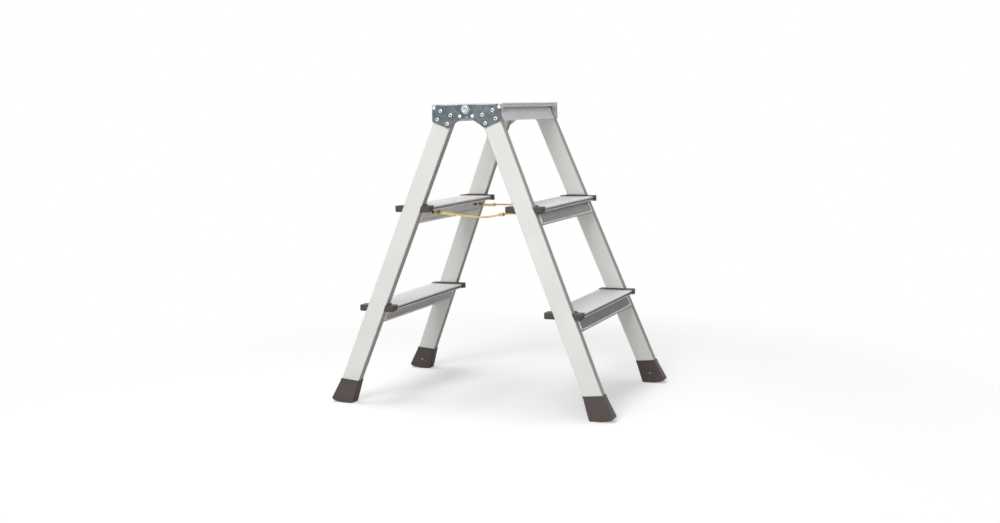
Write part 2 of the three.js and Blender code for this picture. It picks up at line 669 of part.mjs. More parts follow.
function addCorner(sideName, side, endName, end) {
  const mirrored = { scale: [side, end, 1] };
  const at = (x, z) => ({ scale: [side, end, 1], position: [side * x, 0, z] });
  const corner = `${sideName}_${endName}`;
  const outer = side * end < 0;
  add(`stile_${corner}`, buildStile(), aluminium, mirrored);
  add(`foot_${corner}`, buildFoot(), brownPlastic, mirrored);
  const [x, , z] = footRivetPlace();
  const footRivet = domedRivet(FOOT_RIVET).rotateZ(Math.PI);
  add(`foot_rivet_${corner}`, footRivet.translate(0, footInnerY(z) - CLEARANCE, 0), brightSteel, at(x, z));
  for (const level of ["bottom", "middle"]) {
    add(`end_cap_${corner}_${level}`, buildCap(TREAD_TOPS[level]), brownPlastic, mirrored);
  }
  add(`hinge_plate_${corner}`, buildPlate(outer), zincSteel, at(0, PIVOT_Z));
  const nose = plateY(NOSE_RIVET.z) + PLATE_THICKNESS + CLEARANCE;
  add(`nosing_rivet_${corner}`, domedRivet(NOSE_RIVET).translate(0, nose, 0), brightSteel,
    at(NOSE_RIVET_X, PIVOT_Z + NOSE_RIVET.z));
  const neck = armY(outer) + PLATE_THICKNESS + CLEARANCE;
  add(`neck_rivet_${corner}`, domedRivet(NECK_RIVET, 1).translate(0, neck, 0), brightSteel,
    at(NECK_RIVET.x, PIVOT_Z + NECK_RIVET.z));
}

function addRope(endName, end, middle, routes) {
  const y = end * ROPE_Y;
  for (const [sideName, side] of SIDES) {
    const place = { scale: [side, 1, 1], position: [0, y, 0] };
    const name = `${endName}_${sideName}`;
    add(`rope_half_${name}`, ropeHalf(routes[sideName], middle), yellowRope, place);
    add(`rope_end_${name}`, ropeEnd(), yellowRope, place);
    add(`rope_washer_${name}`, ropeWasher(), creamPlastic, place);
    add(`rope_eyelet_${name}`, eyelet(), brightSteel, place);
  }
}

addTreads();
for (const [sideName, side] of SIDES) {
  for (const [endName, end] of ENDS) addCorner(sideName, side, endName, end);
}
for (const [endName, end] of ENDS) {
  add(`hinge_pin_${endName}`, hingePin(), brightSteel, { scale: [1, end, 1], position: [0, 0, PIVOT_Z] });
  add(`hinge_washer_${endName}`, hingeWasher(), zincSteel, { scale: [1, end, 1], position: [0, 0, PIVOT_Z] });
}
addRope("near", -1, NEAR_ROPE_MIDDLE, { left: NEAR_ROPE_LEFT, right: NEAR_ROPE_RIGHT });
addRope("far", 1, FAR_ROPE_MIDDLE, { left: FAR_ROPE, right: FAR_ROPE });

export default ladder;
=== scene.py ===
"""The looks of a double-sided folding step ladder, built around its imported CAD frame.

Sizes are in millimetres until a mesh is made; the scene is in metres, +Z up. X runs from the left
frame to the right frame, Y along the treads, and near is -Y. Corner pieces are built for the right
far corner (x > 0, y > 0) and mirrored.
"""

import json
from math import atan, copysign, cos, pi, radians, sin, sqrt, tan

import bmesh
import bpy
from mathutils import Matrix, Vector, noise


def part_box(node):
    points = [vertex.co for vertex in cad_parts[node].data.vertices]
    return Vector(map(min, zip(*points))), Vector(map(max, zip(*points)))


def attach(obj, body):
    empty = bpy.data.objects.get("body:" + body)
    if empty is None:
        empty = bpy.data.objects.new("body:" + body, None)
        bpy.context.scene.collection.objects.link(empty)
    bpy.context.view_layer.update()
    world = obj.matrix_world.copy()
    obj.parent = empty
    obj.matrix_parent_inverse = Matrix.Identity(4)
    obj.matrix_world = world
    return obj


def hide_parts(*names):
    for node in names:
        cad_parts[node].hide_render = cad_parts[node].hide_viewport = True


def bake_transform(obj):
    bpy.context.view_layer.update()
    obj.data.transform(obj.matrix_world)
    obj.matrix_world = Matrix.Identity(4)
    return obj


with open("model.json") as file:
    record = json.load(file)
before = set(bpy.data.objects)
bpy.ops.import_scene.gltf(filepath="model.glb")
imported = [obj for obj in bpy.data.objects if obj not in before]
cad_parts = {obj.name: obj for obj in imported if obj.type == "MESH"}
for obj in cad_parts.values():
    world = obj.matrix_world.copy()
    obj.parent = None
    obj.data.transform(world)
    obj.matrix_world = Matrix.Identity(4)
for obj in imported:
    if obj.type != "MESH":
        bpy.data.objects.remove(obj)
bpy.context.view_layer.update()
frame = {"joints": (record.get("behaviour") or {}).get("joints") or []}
scene = bpy.context.scene
MM = 0.001

# ---- sizes, as in the CAD ----

JOINTS = {joint["name"]: joint for joint in frame["joints"]}
LEVELS = {
    level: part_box(f"tread_right_{level}")[1].z / MM for level in ("bottom", "middle", "top")
}
TOP = LEVELS["top"]
PIVOT_Z = JOINTS["fold"]["pos_m"][2] / MM
SIDES = (("left", -1), ("right", 1))
ENDS = (("near", -1), ("far", 1))

SLOPE = tan(radians(21.9))
LEAN = atan(SLOPE)
HALF_WIDTH_TOP = 168
SPREAD = 38.5  # how much further out an end is at the floor
TAPER = SPREAD / TOP
SPLAY = atan(TAPER)
CLEARANCE = 0.3

STILE_FACE = 40
STILE_THICKNESS = 21
STILE_WALL = 1.6
STILE_CORNER = 2.4
STILE_LIFT = 8  # the stile's lower end above the floor
HALF_FACE = STILE_FACE / 2 / cos(LEAN)

TREAD_DEPTH = 79
TREAD_HEIGHT = 37
TREAD_PLATE = 2.5
TREAD_WALL = 2 / cos(LEAN)
TREAD_SETBACK = 0.5
NOSE_HEIGHT = 9.4
NOSE_DEPTH = 9
NOSE_WALL = 2
GROOVE_TOP = 3.4
GROOVE_BOTTOM = 7.2
GROOVE_DEPTH = 2.2
LIP_HEIGHT = 5
LIP_REACH = 2.2
# The lip's lower part is painted shade, its upper part a painted highlight.
LIP_SHADE = 2.2  # lower, darker part of the lip
HALF_GAP = 0.8  # from the middle to either top tread
TREAD_TOP_X = HALF_GAP + TREAD_DEPTH / 2
HALF_DEPTH = TREAD_DEPTH / 2


def stile_x(z):
    return TREAD_TOP_X - TREAD_SETBACK + (TOP - z) * SLOPE


def tread_x(z):
    return stile_x(z) + TREAD_SETBACK


def outer_y(z):
    return HALF_WIDTH_TOP + (TOP - z) * TAPER


def inner_y(z):
    return outer_y(z) - STILE_THICKNESS / cos(SPLAY)


def middle_y(z):
    return (outer_y(z) + inner_y(z)) / 2


def wall_x(depth, edge):
    """A tread wall's outer surface, from the tread's middle, at a depth below its top."""
    return -TREAD_SETBACK + depth * SLOPE + edge * HALF_FACE


def corners():
    """Each corner's name and place: its body and the signs that mirror a piece."""
    for side_name, side in SIDES:
        for end_name, end in ENDS:
            yield f"{side_name}_{end_name}", (f"{side_name}_frame", side, end)


def add_object(name, data):
    obj = bpy.data.objects.new(name, data)
    scene.collection.objects.link(obj)
    return obj


# ---- node trees ----

def feed(tree, node, inputs):
    """Gives a node's inputs their values, or links from other nodes' outputs."""
    for socket, value in inputs.items():
        if isinstance(value, bpy.types.NodeSocket):
            tree.links.new(value, node.inputs[socket])
        else:
            node.inputs[socket].default_value = value


def add_node(tree, kind, *values, **inputs):
    """A shader node. Its inputs come in order, or by name with _ for each space."""
    node = tree.nodes.new(f"ShaderNode{kind}")
    feed(tree, node, dict(enumerate(values)))
    feed(tree, node, {name.replace("_", " "): value for name, value in inputs.items()})
    return node


def signal(tree, kind, *values, **inputs):
    """A new node's first output."""
    return add_node(tree, kind, *values, **inputs).outputs[0]


def maths(tree, operation, a, b):
    node = add_node(tree, "Math", a, b)
    node.operation = operation
    return node.outputs[0]


def arrives(tree, *rays):
    """One for these kinds of ray, else zero."""
    path = add_node(tree, "LightPath")
    total = path.outputs[rays[0]]
    for ray in rays[1:]:
        total = maths(tree, "MAXIMUM", total, path.outputs[ray])
    return total


# ---- camera, floor and light ----

CAMERA_ANGLES = (22.519, 6.862, -1.208)  # azimuth, elevation and roll in degrees
CAMERA_TARGET = (-0.00177, 0, 0.296)
CAMERA_DISTANCE = 2.8547
CAMERA_SENSOR = 36
CAMERA_LENS = 45.917

WHITE = (1, 1, 1, 1)
WORLD_LIGHT = 0.12
FLOOR_TONE = 0.82
FLOOR_GLOW = 0.36  # added where the camera sees the floor
FLOOR_FADE = (0.45, 1.3)  # distances between which the floor turns white
FLOOR_REACH = 12
LAMPS = [  # name, place, target, diameter, power
    ("front", (-0.6, -4.2, 1.4), (0, 0, 0.3), 4, 49),
    ("right", (1.9, -2.3, 1.0), (0.1, 0.15, 0.4), 1.0, 9),
    ("high front", (0.1, -3.1, 2.8), (0, 0, 0.3), 2, 62),
    ("top", (-0.4, 0.1, 2.8), (0, 0, 0.3), 1.5, 30),
    ("back", (0.4, 3.6, 1.7), (0, 0, 0.3), 2.2, 9),
]


def make_camera():
    azimuth, elevation, roll = (radians(angle) for angle in CAMERA_ANGLES)
    turn = Matrix.Rotation(azimuth, 4, "Z") @ Matrix.Rotation(pi / 2 - elevation, 4, "X")
    turn = turn @ Matrix.Rotation(roll, 4, "Z")
    camera = add_object("camera", bpy.data.cameras.new("camera"))
    camera.data.sensor_width = CAMERA_SENSOR
    camera.data.lens = CAMERA_LENS
    back = Matrix.Translation((0, 0, CAMERA_DISTANCE))
    camera.matrix_world = Matrix.Translation(CAMERA_TARGET) @ turn @ back
    scene.camera = camera


def make_world():
    """White where it is seen, straight or mirrored, and otherwise a weak even light."""
    scene.world = bpy.data.worlds.new("studio")
    scene.world.use_nodes = True
    tree = scene.world.node_tree
    tree.nodes.clear()
    seen = arrives(tree, "Is Camera Ray", "Is Glossy Ray", "Is Transmission Ray")
    light = signal(tree, "Background", WHITE, WORLD_LIGHT)
    backdrop = signal(tree, "Background", WHITE, 1)
    add_node(tree, "OutputWorld", signal(tree, "MixShader", seen, light, backdrop))


def make_floor():
    """A pale floor that keeps the shadow near the object and is white further out."""
    material = bpy.data.materials.new("floor")
    material.use_nodes = True
    tree = material.node_tree
    tree.nodes.clear()
    seen = arrives(tree, "Is Camera Ray")
    diffuse = signal(tree, "BsdfDiffuse", (*grey(FLOOR_TONE), 1))
    glow = signal(tree, "Emission", WHITE, maths(tree, "MULTIPLY", seen, FLOOR_GLOW))
    near = signal(tree, "AddShader", diffuse, glow)
    distance = add_node(tree, "VectorMath", add_node(tree, "TexCoord").outputs["Object"])
    distance.operation = "LENGTH"
    fade = add_node(tree, "MapRange", distance.outputs["Value"], *FLOOR_FADE)
    fade.interpolation_type = "SMOOTHSTEP"
    far = maths(tree, "MULTIPLY", fade.outputs[0], seen)
    white = signal(tree, "Emission", WHITE)
    add_node(tree, "OutputMaterial", signal(tree, "MixShader", far, near, white))
    mesh = bpy.data.meshes.new("floor")
    reach = (-FLOOR_REACH, FLOOR_REACH)
    mesh.from_pydata([(x, y, 0) for x, y in rectangle(reach, reach)], [], [(0, 1, 2, 3)])
    mesh.materials.append(material)
    floor = add_object("floor", mesh)


def area_light(name, place, target, size, power):
    lamp = bpy.data.lights.new(name, "AREA")
    lamp.shape = "DISK"
    lamp.size = size
    lamp.energy = power
    obj = add_object(name, lamp)
    obj.location = place
    obj.rotation_euler = (Vector(target) - Vector(place)).to_track_quat("-Z", "Y").to_euler()


# ---- mesh helpers ----

def mixed(a, b, t):
    return a + (b - a) * t


def steps(count):
    """Equal steps from 0 to 1."""
    return [i / count for i in range(count + 1)]


def circle(sides):
    """The cosine and sine of each corner's angle."""
    angles = [2 * pi * i / sides for i in range(sides)]
    return [(cos(a), sin(a)) for a in angles]


def rectangle(x, y):
    return [(x[0], y[0]), (x[1], y[0]), (x[1], y[1]), (x[0], y[1])]


def rounded(points, radius, count=4):
    """A closed outline with rounded corners; a point's third number is its own radius."""
    outline = []
    for i, point in enumerate(points):
        corner = Vector(point[:2])
        before = Vector(points[i - 1][:2]) - corner
        after = Vector(points[(i + 1) % len(points)][:2]) - corner
        wanted = point[2] if len(point) > 2 else radius
        if wanted <= 0:
            outline.append(corner)
            continue
        reach = wanted / tan(before.angle(after) / 2)
        reach = min(reach, 0.49 * before.length, 0.49 * after.length)
        start = corner + before.normalized() * reach
        end = corner + after.normalized() * reach
        for t in steps(count):
            outline.append(start * (1 - t) ** 2 + corner * 2 * t * (1 - t) + end * t**2)
    return outline


def rounded_rectangle(width, height, radius):
    w, h = width / 2, height / 2
    points = []
    for quarter, (x, y) in enumerate(((w, h), (-w, h), (-w, -h), (w, -h))):
        middle = Vector((x - copysign(radius, x), y - copysign(radius, y)))
        for t in steps(5):
            angle = (quarter + t) * pi / 2
            points.append(middle + radius * Vector((cos(angle), sin(angle))))
    return points


def skin(bm, a, b):
    """Faces between two rings of vertices; a ring of one vertex is a tip."""
    sides = max(len(a), len(b))
    for i in range(sides):
        j = (i + 1) % sides
        around = (a[i % len(a)], a[j % len(a)], b[j % len(b)], b[i % len(b)])
        bm.faces.new(list(dict.fromkeys(around)))


def loft(rings, close=False):
    """Skins equal rings, and joins the last to the first or caps both."""
    bm = bmesh.new()
    made = [[bm.verts.new(p) for p in ring] for ring in rings]
    for a, b in zip(made, made[1:] + made[:1] if close else made[1:]):
        skin(bm, a, b)
    if not close:
        bm.faces.new(made[0])
        bm.faces.new(made[-1])
    return bm


def turned(profile, place, turn, sides=32):
    """A turned piece from (radius, height), closed on the axis or on itself."""
    bm = bmesh.new()
    to_world = Matrix.Translation(place) @ turn
    rings = []
    for radius, height in profile:
        rings.append([
            bm.verts.new(to_world @ Vector((radius * c, radius * s, height)))
            for c, s in circle(sides if radius else 1)
        ])
    on_axis = profile[0][0] == 0
    for a, b in zip(rings, rings[1:] if on_axis else rings[1:] + rings[:1]):
        skin(bm, a, b)
    return bm


def tube(points, radius, sides=8, closed=False):
    """A round tube along points; its radius may be a function of the way along, 0 to 1."""
    bm = bmesh.new()
    count = len(points)
    made = []
    tangent = None
    for i, point in enumerate(points):
        ahead = points[(i + 1) % count] if closed else points[min(i + 1, count - 1)]
        behind = points[i - 1] if closed else points[max(i - 1, 0)]
        direction = (ahead - behind).normalized()
        if tangent is None:
            side = direction.orthogonal().normalized()
        else:
            side = tangent.rotation_difference(direction) @ side
        tangent = direction
        other = direction.cross(side)
        size = radius(i / (count - 1)) if callable(radius) else radius
        ring = [point + size * (side * c + other * s) for c, s in circle(sides)]
        made.append([bm.verts.new(p) for p in ring])
    for a, b in zip(made, made[1:]):
        skin(bm, a, b)
    first, last = made[0], made[-1]
    if closed:
        # The section has turned a little on its way round.
        shift = min(range(sides), key=lambda k: (last[0].co - first[k].co).length)
        skin(bm, last, first[shift:] + first[:shift])
    else:
        bm.faces.new(first)
        bm.faces.new(last)
    return bm


def box(x, y, z):
    return loft([[(*p, height) for p in rectangle(x, y)] for height in z])


def along_y(outline, ends):
    """An outline in X and Z between two ends in Y, each a number or a function of height."""
    return loft([[(x, y(z) if callable(y) else y, z) for x, z in outline] for y in ends])


def joined(*parts):
    whole = bmesh.new()
    for part in parts:
        mesh = bpy.data.meshes.new("part")
        part.to_mesh(mesh)
        part.free()
        whole.from_mesh(mesh)
        bpy.data.meshes.remove(mesh)
    return whole


def cut(bm, *cutters):
    """The solid less the cutters, as a fresh bmesh."""
    made = []
    for solid in (bm, *cutters):
        bmesh.ops.recalc_face_normals(solid, faces=solid.faces)
        mesh = bpy.data.meshes.new("cut")
        solid.to_mesh(mesh)
        solid.free()
        made.append(add_object("cut", mesh))
    for cutter in made[1:]:
        modifier = made[0].modifiers.new("cut", "BOOLEAN")
        modifier.operation = "DIFFERENCE"
        modifier.solver = "EXACT"
        modifier.use_self = True
        modifier.object = cutter
    result = bmesh.new()
    result.from_object(made[0], bpy.context.evaluated_depsgraph_get())
    for obj in made:
        mesh = obj.data
        bpy.data.objects.remove(obj)
        bpy.data.meshes.remove(mesh)
    bmesh.ops.remove_doubles(result, verts=result.verts, dist=0.001)
    bmesh.ops.dissolve_degenerate(result, edges=result.edges, dist=0.001)
    return result


FACING_Y = Matrix.Rotation(-pi / 2, 4, "X")
FACING_OUT = Matrix.Rotation(SPLAY, 4, "X") @ FACING_Y


def make_piece(name, bm, material, place, stands_for=(), grain=(0, 1, 0), sharp=32):
    """Turns a bmesh in millimetres into a piece; grain is the direction of its drawing lines."""
    body, side, end = place
    bmesh.ops.scale(bm, vec=(side, end, 1), verts=bm.verts)
    bmesh.ops.recalc_face_normals(bm, faces=bm.faces)
    bmesh.ops.scale(bm, vec=(MM, MM, MM), verts=bm.verts)
    mesh = bpy.data.meshes.new(name)
    bm.to_mesh(mesh)
    bm.free()
    mesh.shade_smooth()
    mesh.set_sharp_from_angle(angle=radians(sharp))
    turn = Vector(grain).normalized().rotation_difference(Vector((0, 0, 1)))
    attribute = mesh.attributes.new("grain", "FLOAT_VECTOR", "POINT")
    for vertex in mesh.vertices:
        attribute.data[vertex.index].vector = turn @ vertex.co
    for one in material if isinstance(material, tuple) else (material,):
        mesh.materials.append(one)
    piece = add_object(name, mesh)
    shading = piece.modifiers.new("flat faces", "WEIGHTED_NORMAL")
    shading.weight = 100
    shading.keep_sharp = True
    if body:
        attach(piece, body)
    if stands_for:
        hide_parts(*stands_for)
    return piece


# ---- materials ----

class Look:
    """A procedural material: its shader and the maps that vary it."""

    def __init__(self, name, **sockets):
        self.material = bpy.data.materials.new(name)
        self.material.use_nodes = True
        self.tree = self.material.node_tree
        self.shader = self.tree.nodes["Principled BSDF"]
        for socket, value in sockets.items():
            self.set(socket, value)

    def set(self, socket, value):
        feed(self.tree, self.shader, {socket.replace("_", " "): value})

    def noise(self, scale, detail=3, roughness=0.5, along_grain=False):
        """Noise with a scale per metre, in the object's coordinates or along its grain."""
        start = add_node(self.tree, "Attribute" if along_grain else "TexCoord")
        if along_grain:
            start.attribute_name = "grain"
        place = start.outputs["Vector" if along_grain else "Object"]
        scale = scale if isinstance(scale, tuple) else (scale, scale, scale)
        return signal(self.tree, "TexNoise", signal(self.tree, "Mapping", place, Scale=scale),
                      Scale=1, Detail=detail, Roughness=roughness)

    def ramp(self, value, *stops):
        """Colours between stops; each stop is a position and a colour."""
        node = add_node(self.tree, "ValToRGB", value)
        elements = node.color_ramp.elements
        while len(elements) < len(stops):
            elements.new(0.5)
        for element, (position, colour) in zip(elements, stops):
            element.position = position
            element.color = (*colour, 1)
        return node.outputs["Color"]

    def mix(self, a, b, kind="MULTIPLY", factor=1.0):
        node = self.tree.nodes.new("ShaderNodeMix")
        node.data_type = "RGBA"
        node.blend_type = kind
        feed(self.tree, node, {"Factor": factor, "A": a, "B": b})
        return node.outputs["Result"]

    def colour(self, *layers):
        """The base colour: one ramp, or two multiplied."""
        ramps = [self.ramp(*layer) for layer in layers]
        self.set("Base Color", ramps[0] if len(ramps) == 1 else self.mix(*ramps))

    def roughness(self, value, low, high):
        """Roughness between two limits over a noise's usual range."""
        self.set("Roughness", signal(self.tree, "MapRange", value, 0.25, 0.75, low, high))

    def bump(self, height, distance, strength):
        self.set("Normal", signal(
            self.tree, "Bump", Strength=strength, Distance=distance, Height=height
        ))


def grey(value):
    return (value, value, value)


def scaled(tone, factor):
    return [c * factor for c in tone]


def aluminium(name, tone, metallic=0.15, specular=0.5, stain=0.95):
    """Satin anodised extrusion: fine lines along the grain, faint blotches."""
    look = Look(name, Metallic=metallic, Specular_IOR_Level=specular)
    lines = look.noise((1400, 1400, 9), 4, 0.65, along_grain=True)
    blotches = look.noise(14)
    look.colour((blotches, (0.3, scaled(tone, stain)), (0.7, tone)),
                (lines, (0.3, grey(0.93)), (0.7, grey(1.0))))
    look.roughness(look.mix(lines, blotches, "MIX", 0.35), 0.34, 0.5)
    look.bump(lines, 0.00005, 0.5)
    return look.material


def zinc(name, brightness, roughness):
    """Zinc plating with patches of slightly different blue-grey."""
    look = Look(name, Metallic=0.8)
    patches = look.noise(75, 5, 0.6)
    cloud = look.noise(22, 2)
    stops = (0.34, (0.6, 0.72, 0.79)), (0.5, (0.84, 0.98, 1.08)), (0.66, (1.2, 1.4, 1.5))
    look.colour((patches, *((place, scaled(tone, brightness)) for place, tone in stops)),
                (cloud, (0.35, (0.9, 0.9, 0.98)), (0.65, (0.95, 1.0, 0.95))))
    look.roughness(patches, roughness * 0.8, roughness * 1.3)
    look.bump(patches, 0.0002, 0.35)
    return look.material


def steel(name, tone, roughness):
    """Bright plated steel with light scratches round it."""
    look = Look(name, Metallic=0.9)
    scratches = look.noise(500)
    look.colour((scratches, (0.3, scaled(tone, 0.9)), (0.7, tone)))
    look.roughness(scratches, roughness * 0.8, roughness * 1.25)
    look.bump(scratches, 0.00004, 0.3)
    return look.material


def moulded_plastic():
    """Brown-black moulded plastic with a fine grain and a little dust."""
    look = Look("brown plastic")
    grain = look.noise(900, 2)
    patches = look.noise(30)
    look.colour((patches, (0.35, (0.062, 0.047, 0.042)), (0.65, (0.076, 0.052, 0.047))),
                (grain, (0.35, grey(0.85)), (0.65, grey(1.0))))
    look.roughness(patches, 0.42, 0.6)
    look.bump(grain, 0.0001, 0.4)
    return look.material


def twine(name, dark, light):
    """Laid twine: fine fibres along the strands and slightly soiled patches."""
    look = Look(name, Roughness=0.8, Sheen_Weight=0.25)
    fibres = look.noise((700, 1600, 1600), 4, 0.7)
    look.colour((fibres, (0.3, dark), (0.65, light)),
                (look.noise(60), (0.3, grey(0.8)), (0.6, grey(1.0))))
    look.bump(fibres, 0.0002, 0.6)
    return look.material


# Near-black: painted shade in the tubular rivets' short closed bores.
def painted_shade_bore():
    look = Look("bore", Metallic=0.3, Roughness=0.7)
    look.colour((look.noise(300), (0.3, grey(0.012)), (0.7, grey(0.03))))
    return look.material


def cream_disc():
    look = Look("cream plastic", Roughness=0.5)
    look.colour((look.noise(120), (0.3, (0.86, 0.79, 0.58)), (0.7, (0.98, 0.94, 0.8))))
    look.bump(look.noise(900, 2), 0.0001, 0.2)
    return look.material


def weld_metal():
    look = Look("weld", Metallic=0.45)
    frost = look.noise(350, 4, 0.7)
    look.colour((frost, (0.3, grey(0.6)), (0.65, (0.9, 0.9, 0.89))))
    look.roughness(frost, 0.25, 0.5)
    look.bump(frost, 0.0003, 0.5)
    return look.material


STILE_METAL = aluminium("stile aluminium", (0.8, 0.8, 0.765), 0.05, 0.2)
# The narrow faces' darker tone is painted shade on the same aluminium as the wide faces.
NARROW_FACE_PAINTED_SHADE = aluminium("stile aluminium, narrow faces, painted shade", (0.44, 0.44, 0.418), 0.05, 0.15)
TREAD_METAL = aluminium("tread aluminium", (0.86, 0.855, 0.87))
# Wall tones are painted light and shade: the top tread's walls painted light, the middle and
# bottom ones painted shade, darker lower down, and the inner walls painted lighter than the outer
# ones.
OUTER_WALL_PAINTED_SHADING = {
    "top": aluminium("upper tread wall, painted light", (0.92, 0.925, 0.96), stain=0.85),
    "middle": aluminium("middle tread wall, painted shade", (0.345, 0.335, 0.322), stain=0.75),
    "bottom": aluminium("lower tread wall, painted shade", (0.205, 0.193, 0.183), stain=0.7),
}
INNER_WALL_PAINTED_SHADING = {
    "top": OUTER_WALL_PAINTED_SHADING["top"],
    "middle": aluminium("middle tread wall, painted shade, inside", (0.72, 0.7, 0.67), stain=0.8),
    "bottom": aluminium("lower tread wall, painted shade, inside", (0.5, 0.49, 0.47), stain=0.8),
}
ZINC = zinc("zinc plate", 0.13, 0.42)
# The plate's inner side in a bright steel tone is painted light.
ZINC_BACK_PAINTED_LIGHT = steel("zinc plate, inside, painted light", (0.95, 0.96, 0.96), 0.4)
WASHER_ZINC = zinc("zinc washer", 0.34, 0.4)
PIN_STEEL = steel("hinge pin", (0.8, 0.83, 0.8), 0.35)
PIN_DISH = steel("hinge pin's dish", (0.42, 0.48, 0.44), 0.45)
TUBE_METAL = steel("tubular rivet", (0.68, 0.7, 0.7), 0.3)
BRIGHT = steel("bright rivet", (0.82, 0.84, 0.85), 0.25)
DULL = steel("dull screw", (0.3, 0.29, 0.28), 0.45)
BORE_PAINTED_SHADE = painted_shade_bore()
PLASTIC = moulded_plastic()
ROPE = twine("yellow twine", (0.58, 0.4, 0.09), (0.97, 0.79, 0.33))
DARK_ROPE = twine("dark twine", (0.26, 0.17, 0.05), (0.58, 0.42, 0.14))
# Dark red-brown: painted shade on the rope's stub beside the tread's wall.
RED_BROWN_PAINTED_SHADE = twine("red-brown painted shade on the rope", (0.05, 0.014, 0.014), (0.16, 0.055, 0.05))
CREAM = cream_disc()
WELD = weld_metal()


# ---- ropes ----
# Each route runs from its anchor inwards: distance from the anchor and height above it.

NEAR_ROPE_LEFT = [(0, 0), (7, 0.2), (24, -1.6), (42, -4.6), (60, -6.4), (78, -8.2)]
NEAR_ROPE_RIGHT = [(0, 0), (13, -0.4), (27, -1), (40, -2.2), (52, -4), (75, -8.3)]
NEAR_ROPE_MIDDLE = -9.6
FAR_ROPE = [(0, 0), (12, -0.1), (30, -0.3), (50, -0.4), (75, -0.5)]
FAR_ROPE_MIDDLE = -0.5

ROPE_RADIUS = 2.1
ROPE_LAY = 15  # length in which a strand goes once round
STRAND_RADIUS = 1.18
DOUBLED_RADIUS = 1.7  # the thinner cord beside the rope's doubled stretch
DOUBLED_LAY = 12
DOUBLED_STRAND = 0.95
DOUBLED_OFFSET = (1.0, -2.6)  # outwards and up from the rope

# Each knot's x, size and material, from left to right; the doubled stretch joins the first two.
ROPE_KNOTS = {
    "near": [(-94, 4.1, DARK_ROPE), (-58, 3.3, ROPE), (47.5, 3.2, ROPE), (56, 3.0, DARK_ROPE)],
    "far": [(-93, 3.9, DARK_ROPE), (-60, 3.2, ROPE)],
}
KNOT_POINTS = 60
KNOT_STRAND = 1.45
KNOT_STRETCH = 1.25
ANCHOR_KNOT = (3.1, 1.4, 0.5)  # size, strand radius and turn
STOP_KNOT = (5.0, 1.9, 1.0)

ANCHOR = Vector(JOINTS["rope_near_swing"]["pos_m"]) / MM
ANCHOR_X = -ANCHOR.x
ROPE_LEVEL = ANCHOR.z
ROPE_Y = -ANCHOR.y
WALL_X = tread_x(LEVELS["middle"]) + wall_x(LEVELS["middle"] - ROPE_LEVEL, -1)
WASHER_X = ANCHOR_X + 3.6
TAIL_START = WASHER_X - 2.5
STOP_KNOT_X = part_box("rope_end_near_right")[1].x / MM - 5.5

# A thin dark red-brown wrap round the stub, between disc and wall, is painted shade.
WRAP_START = WASHER_X + 1.7
WRAP_STOP = WALL_X - 1.2
WRAP_RADIUS = 2.3
WRAP_PITCH = 1.0
WRAP_THREAD = 0.55

EYELET = [  # radius and height above the wall, from the shank's inside
    (3.6, -2.9), (4.5, -3.0), (4.6, -2.8), (4.6, 0.3), (6.0, 0.3), (6.2, 0.5), (6.15, 0.75),
    (5.7, 1.05), (5.0, 1.2), (4.3, 1.1), (3.8, 0.8), (3.6, 0.3),
]
ROPE_DISC = [
    (2.4, 0), (5.6, 0), (6.0, 0.4), (6.0, 1.2), (5.6, 1.6), (3.4, 1.6), (3.0, 1.35), (2.4, 1.35),
]
FACING_X = Matrix.Rotation(pi / 2, 4, "Y")
FACING_IN = Matrix.Rotation(-LEAN, 4, "Y") @ Matrix.Rotation(-pi / 2, 4, "Y")


def smooth_path(points):
    """A Catmull-Rom curve through points, with about one point per millimetre."""
    ends = [2 * points[0] - points[1], *points, 2 * points[-1] - points[-2]]
    path = []
    for a, b, c, d in zip(ends, ends[1:], ends[2:], ends[3:]):
        count = max(1, round((c - b).length))
        for i in range(count):
            t = i / count
            path.append(0.5 * (
                2 * b + (c - a) * t + (2 * a - 5 * b + 4 * c - d) * t**2
                + (3 * b - a - 3 * c + d) * t**3
            ))
    return [*path, points[-1]]


def rope_path(end, left, right, middle):
    """A whole rope's centreline, from its left anchor to its right one."""
    points = [(x - ANCHOR_X, z) for x, z in left] + [(0, middle)]
    points += [(ANCHOR_X - x, z) for x, z in reversed(right)]
    return smooth_path([Vector((x, end * ROPE_Y, ROPE_LEVEL + z)) for x, z in points])


def lay_strands(path, radius=ROPE_RADIUS, strand=STRAND_RADIUS, lay=ROPE_LAY):
    """Three strands laid round a path."""
    run = 0
    frames = []
    for i, point in enumerate(path):
        ahead = path[min(i + 1, len(path) - 1)]
        behind = path[max(i - 1, 0)]
        run += (point - behind).length
        tangent = (ahead - behind).normalized()
        across = (Vector((0, 1, 0)) - tangent * tangent.y).normalized()
        frames.append((point, across, tangent.cross(across), run))
    strands = []
    for k in range(3):
        turns = [2 * pi * (run / lay + k / 3) for *_, run in frames]
        strands.append(tube([
            point + (radius - strand) * (a * cos(turn) + b * sin(turn))
            for (point, a, b, _), turn in zip(frames, turns)
        ], strand))
    return joined(*strands)


def knot(centre, size, strand, turn, stretch=1.0):
    """A pulled-up overhand knot: a small three-lobed loop round the rope."""
    points = []
    spin = Matrix.Rotation(turn, 3, "X") @ FACING_X.to_3x3()
    for i in range(KNOT_POINTS):
        t = 2 * pi * i / KNOT_POINTS
        reach = 0.62 + 0.3 * cos(3 * t)
        place = Vector((reach * cos(2 * t), reach * sin(2 * t), 0.42 * sin(3 * t)))
        place = spin @ (place * size)
        place.x *= stretch
        points.append(centre + place)
    return tube(points, strand, closed=True)


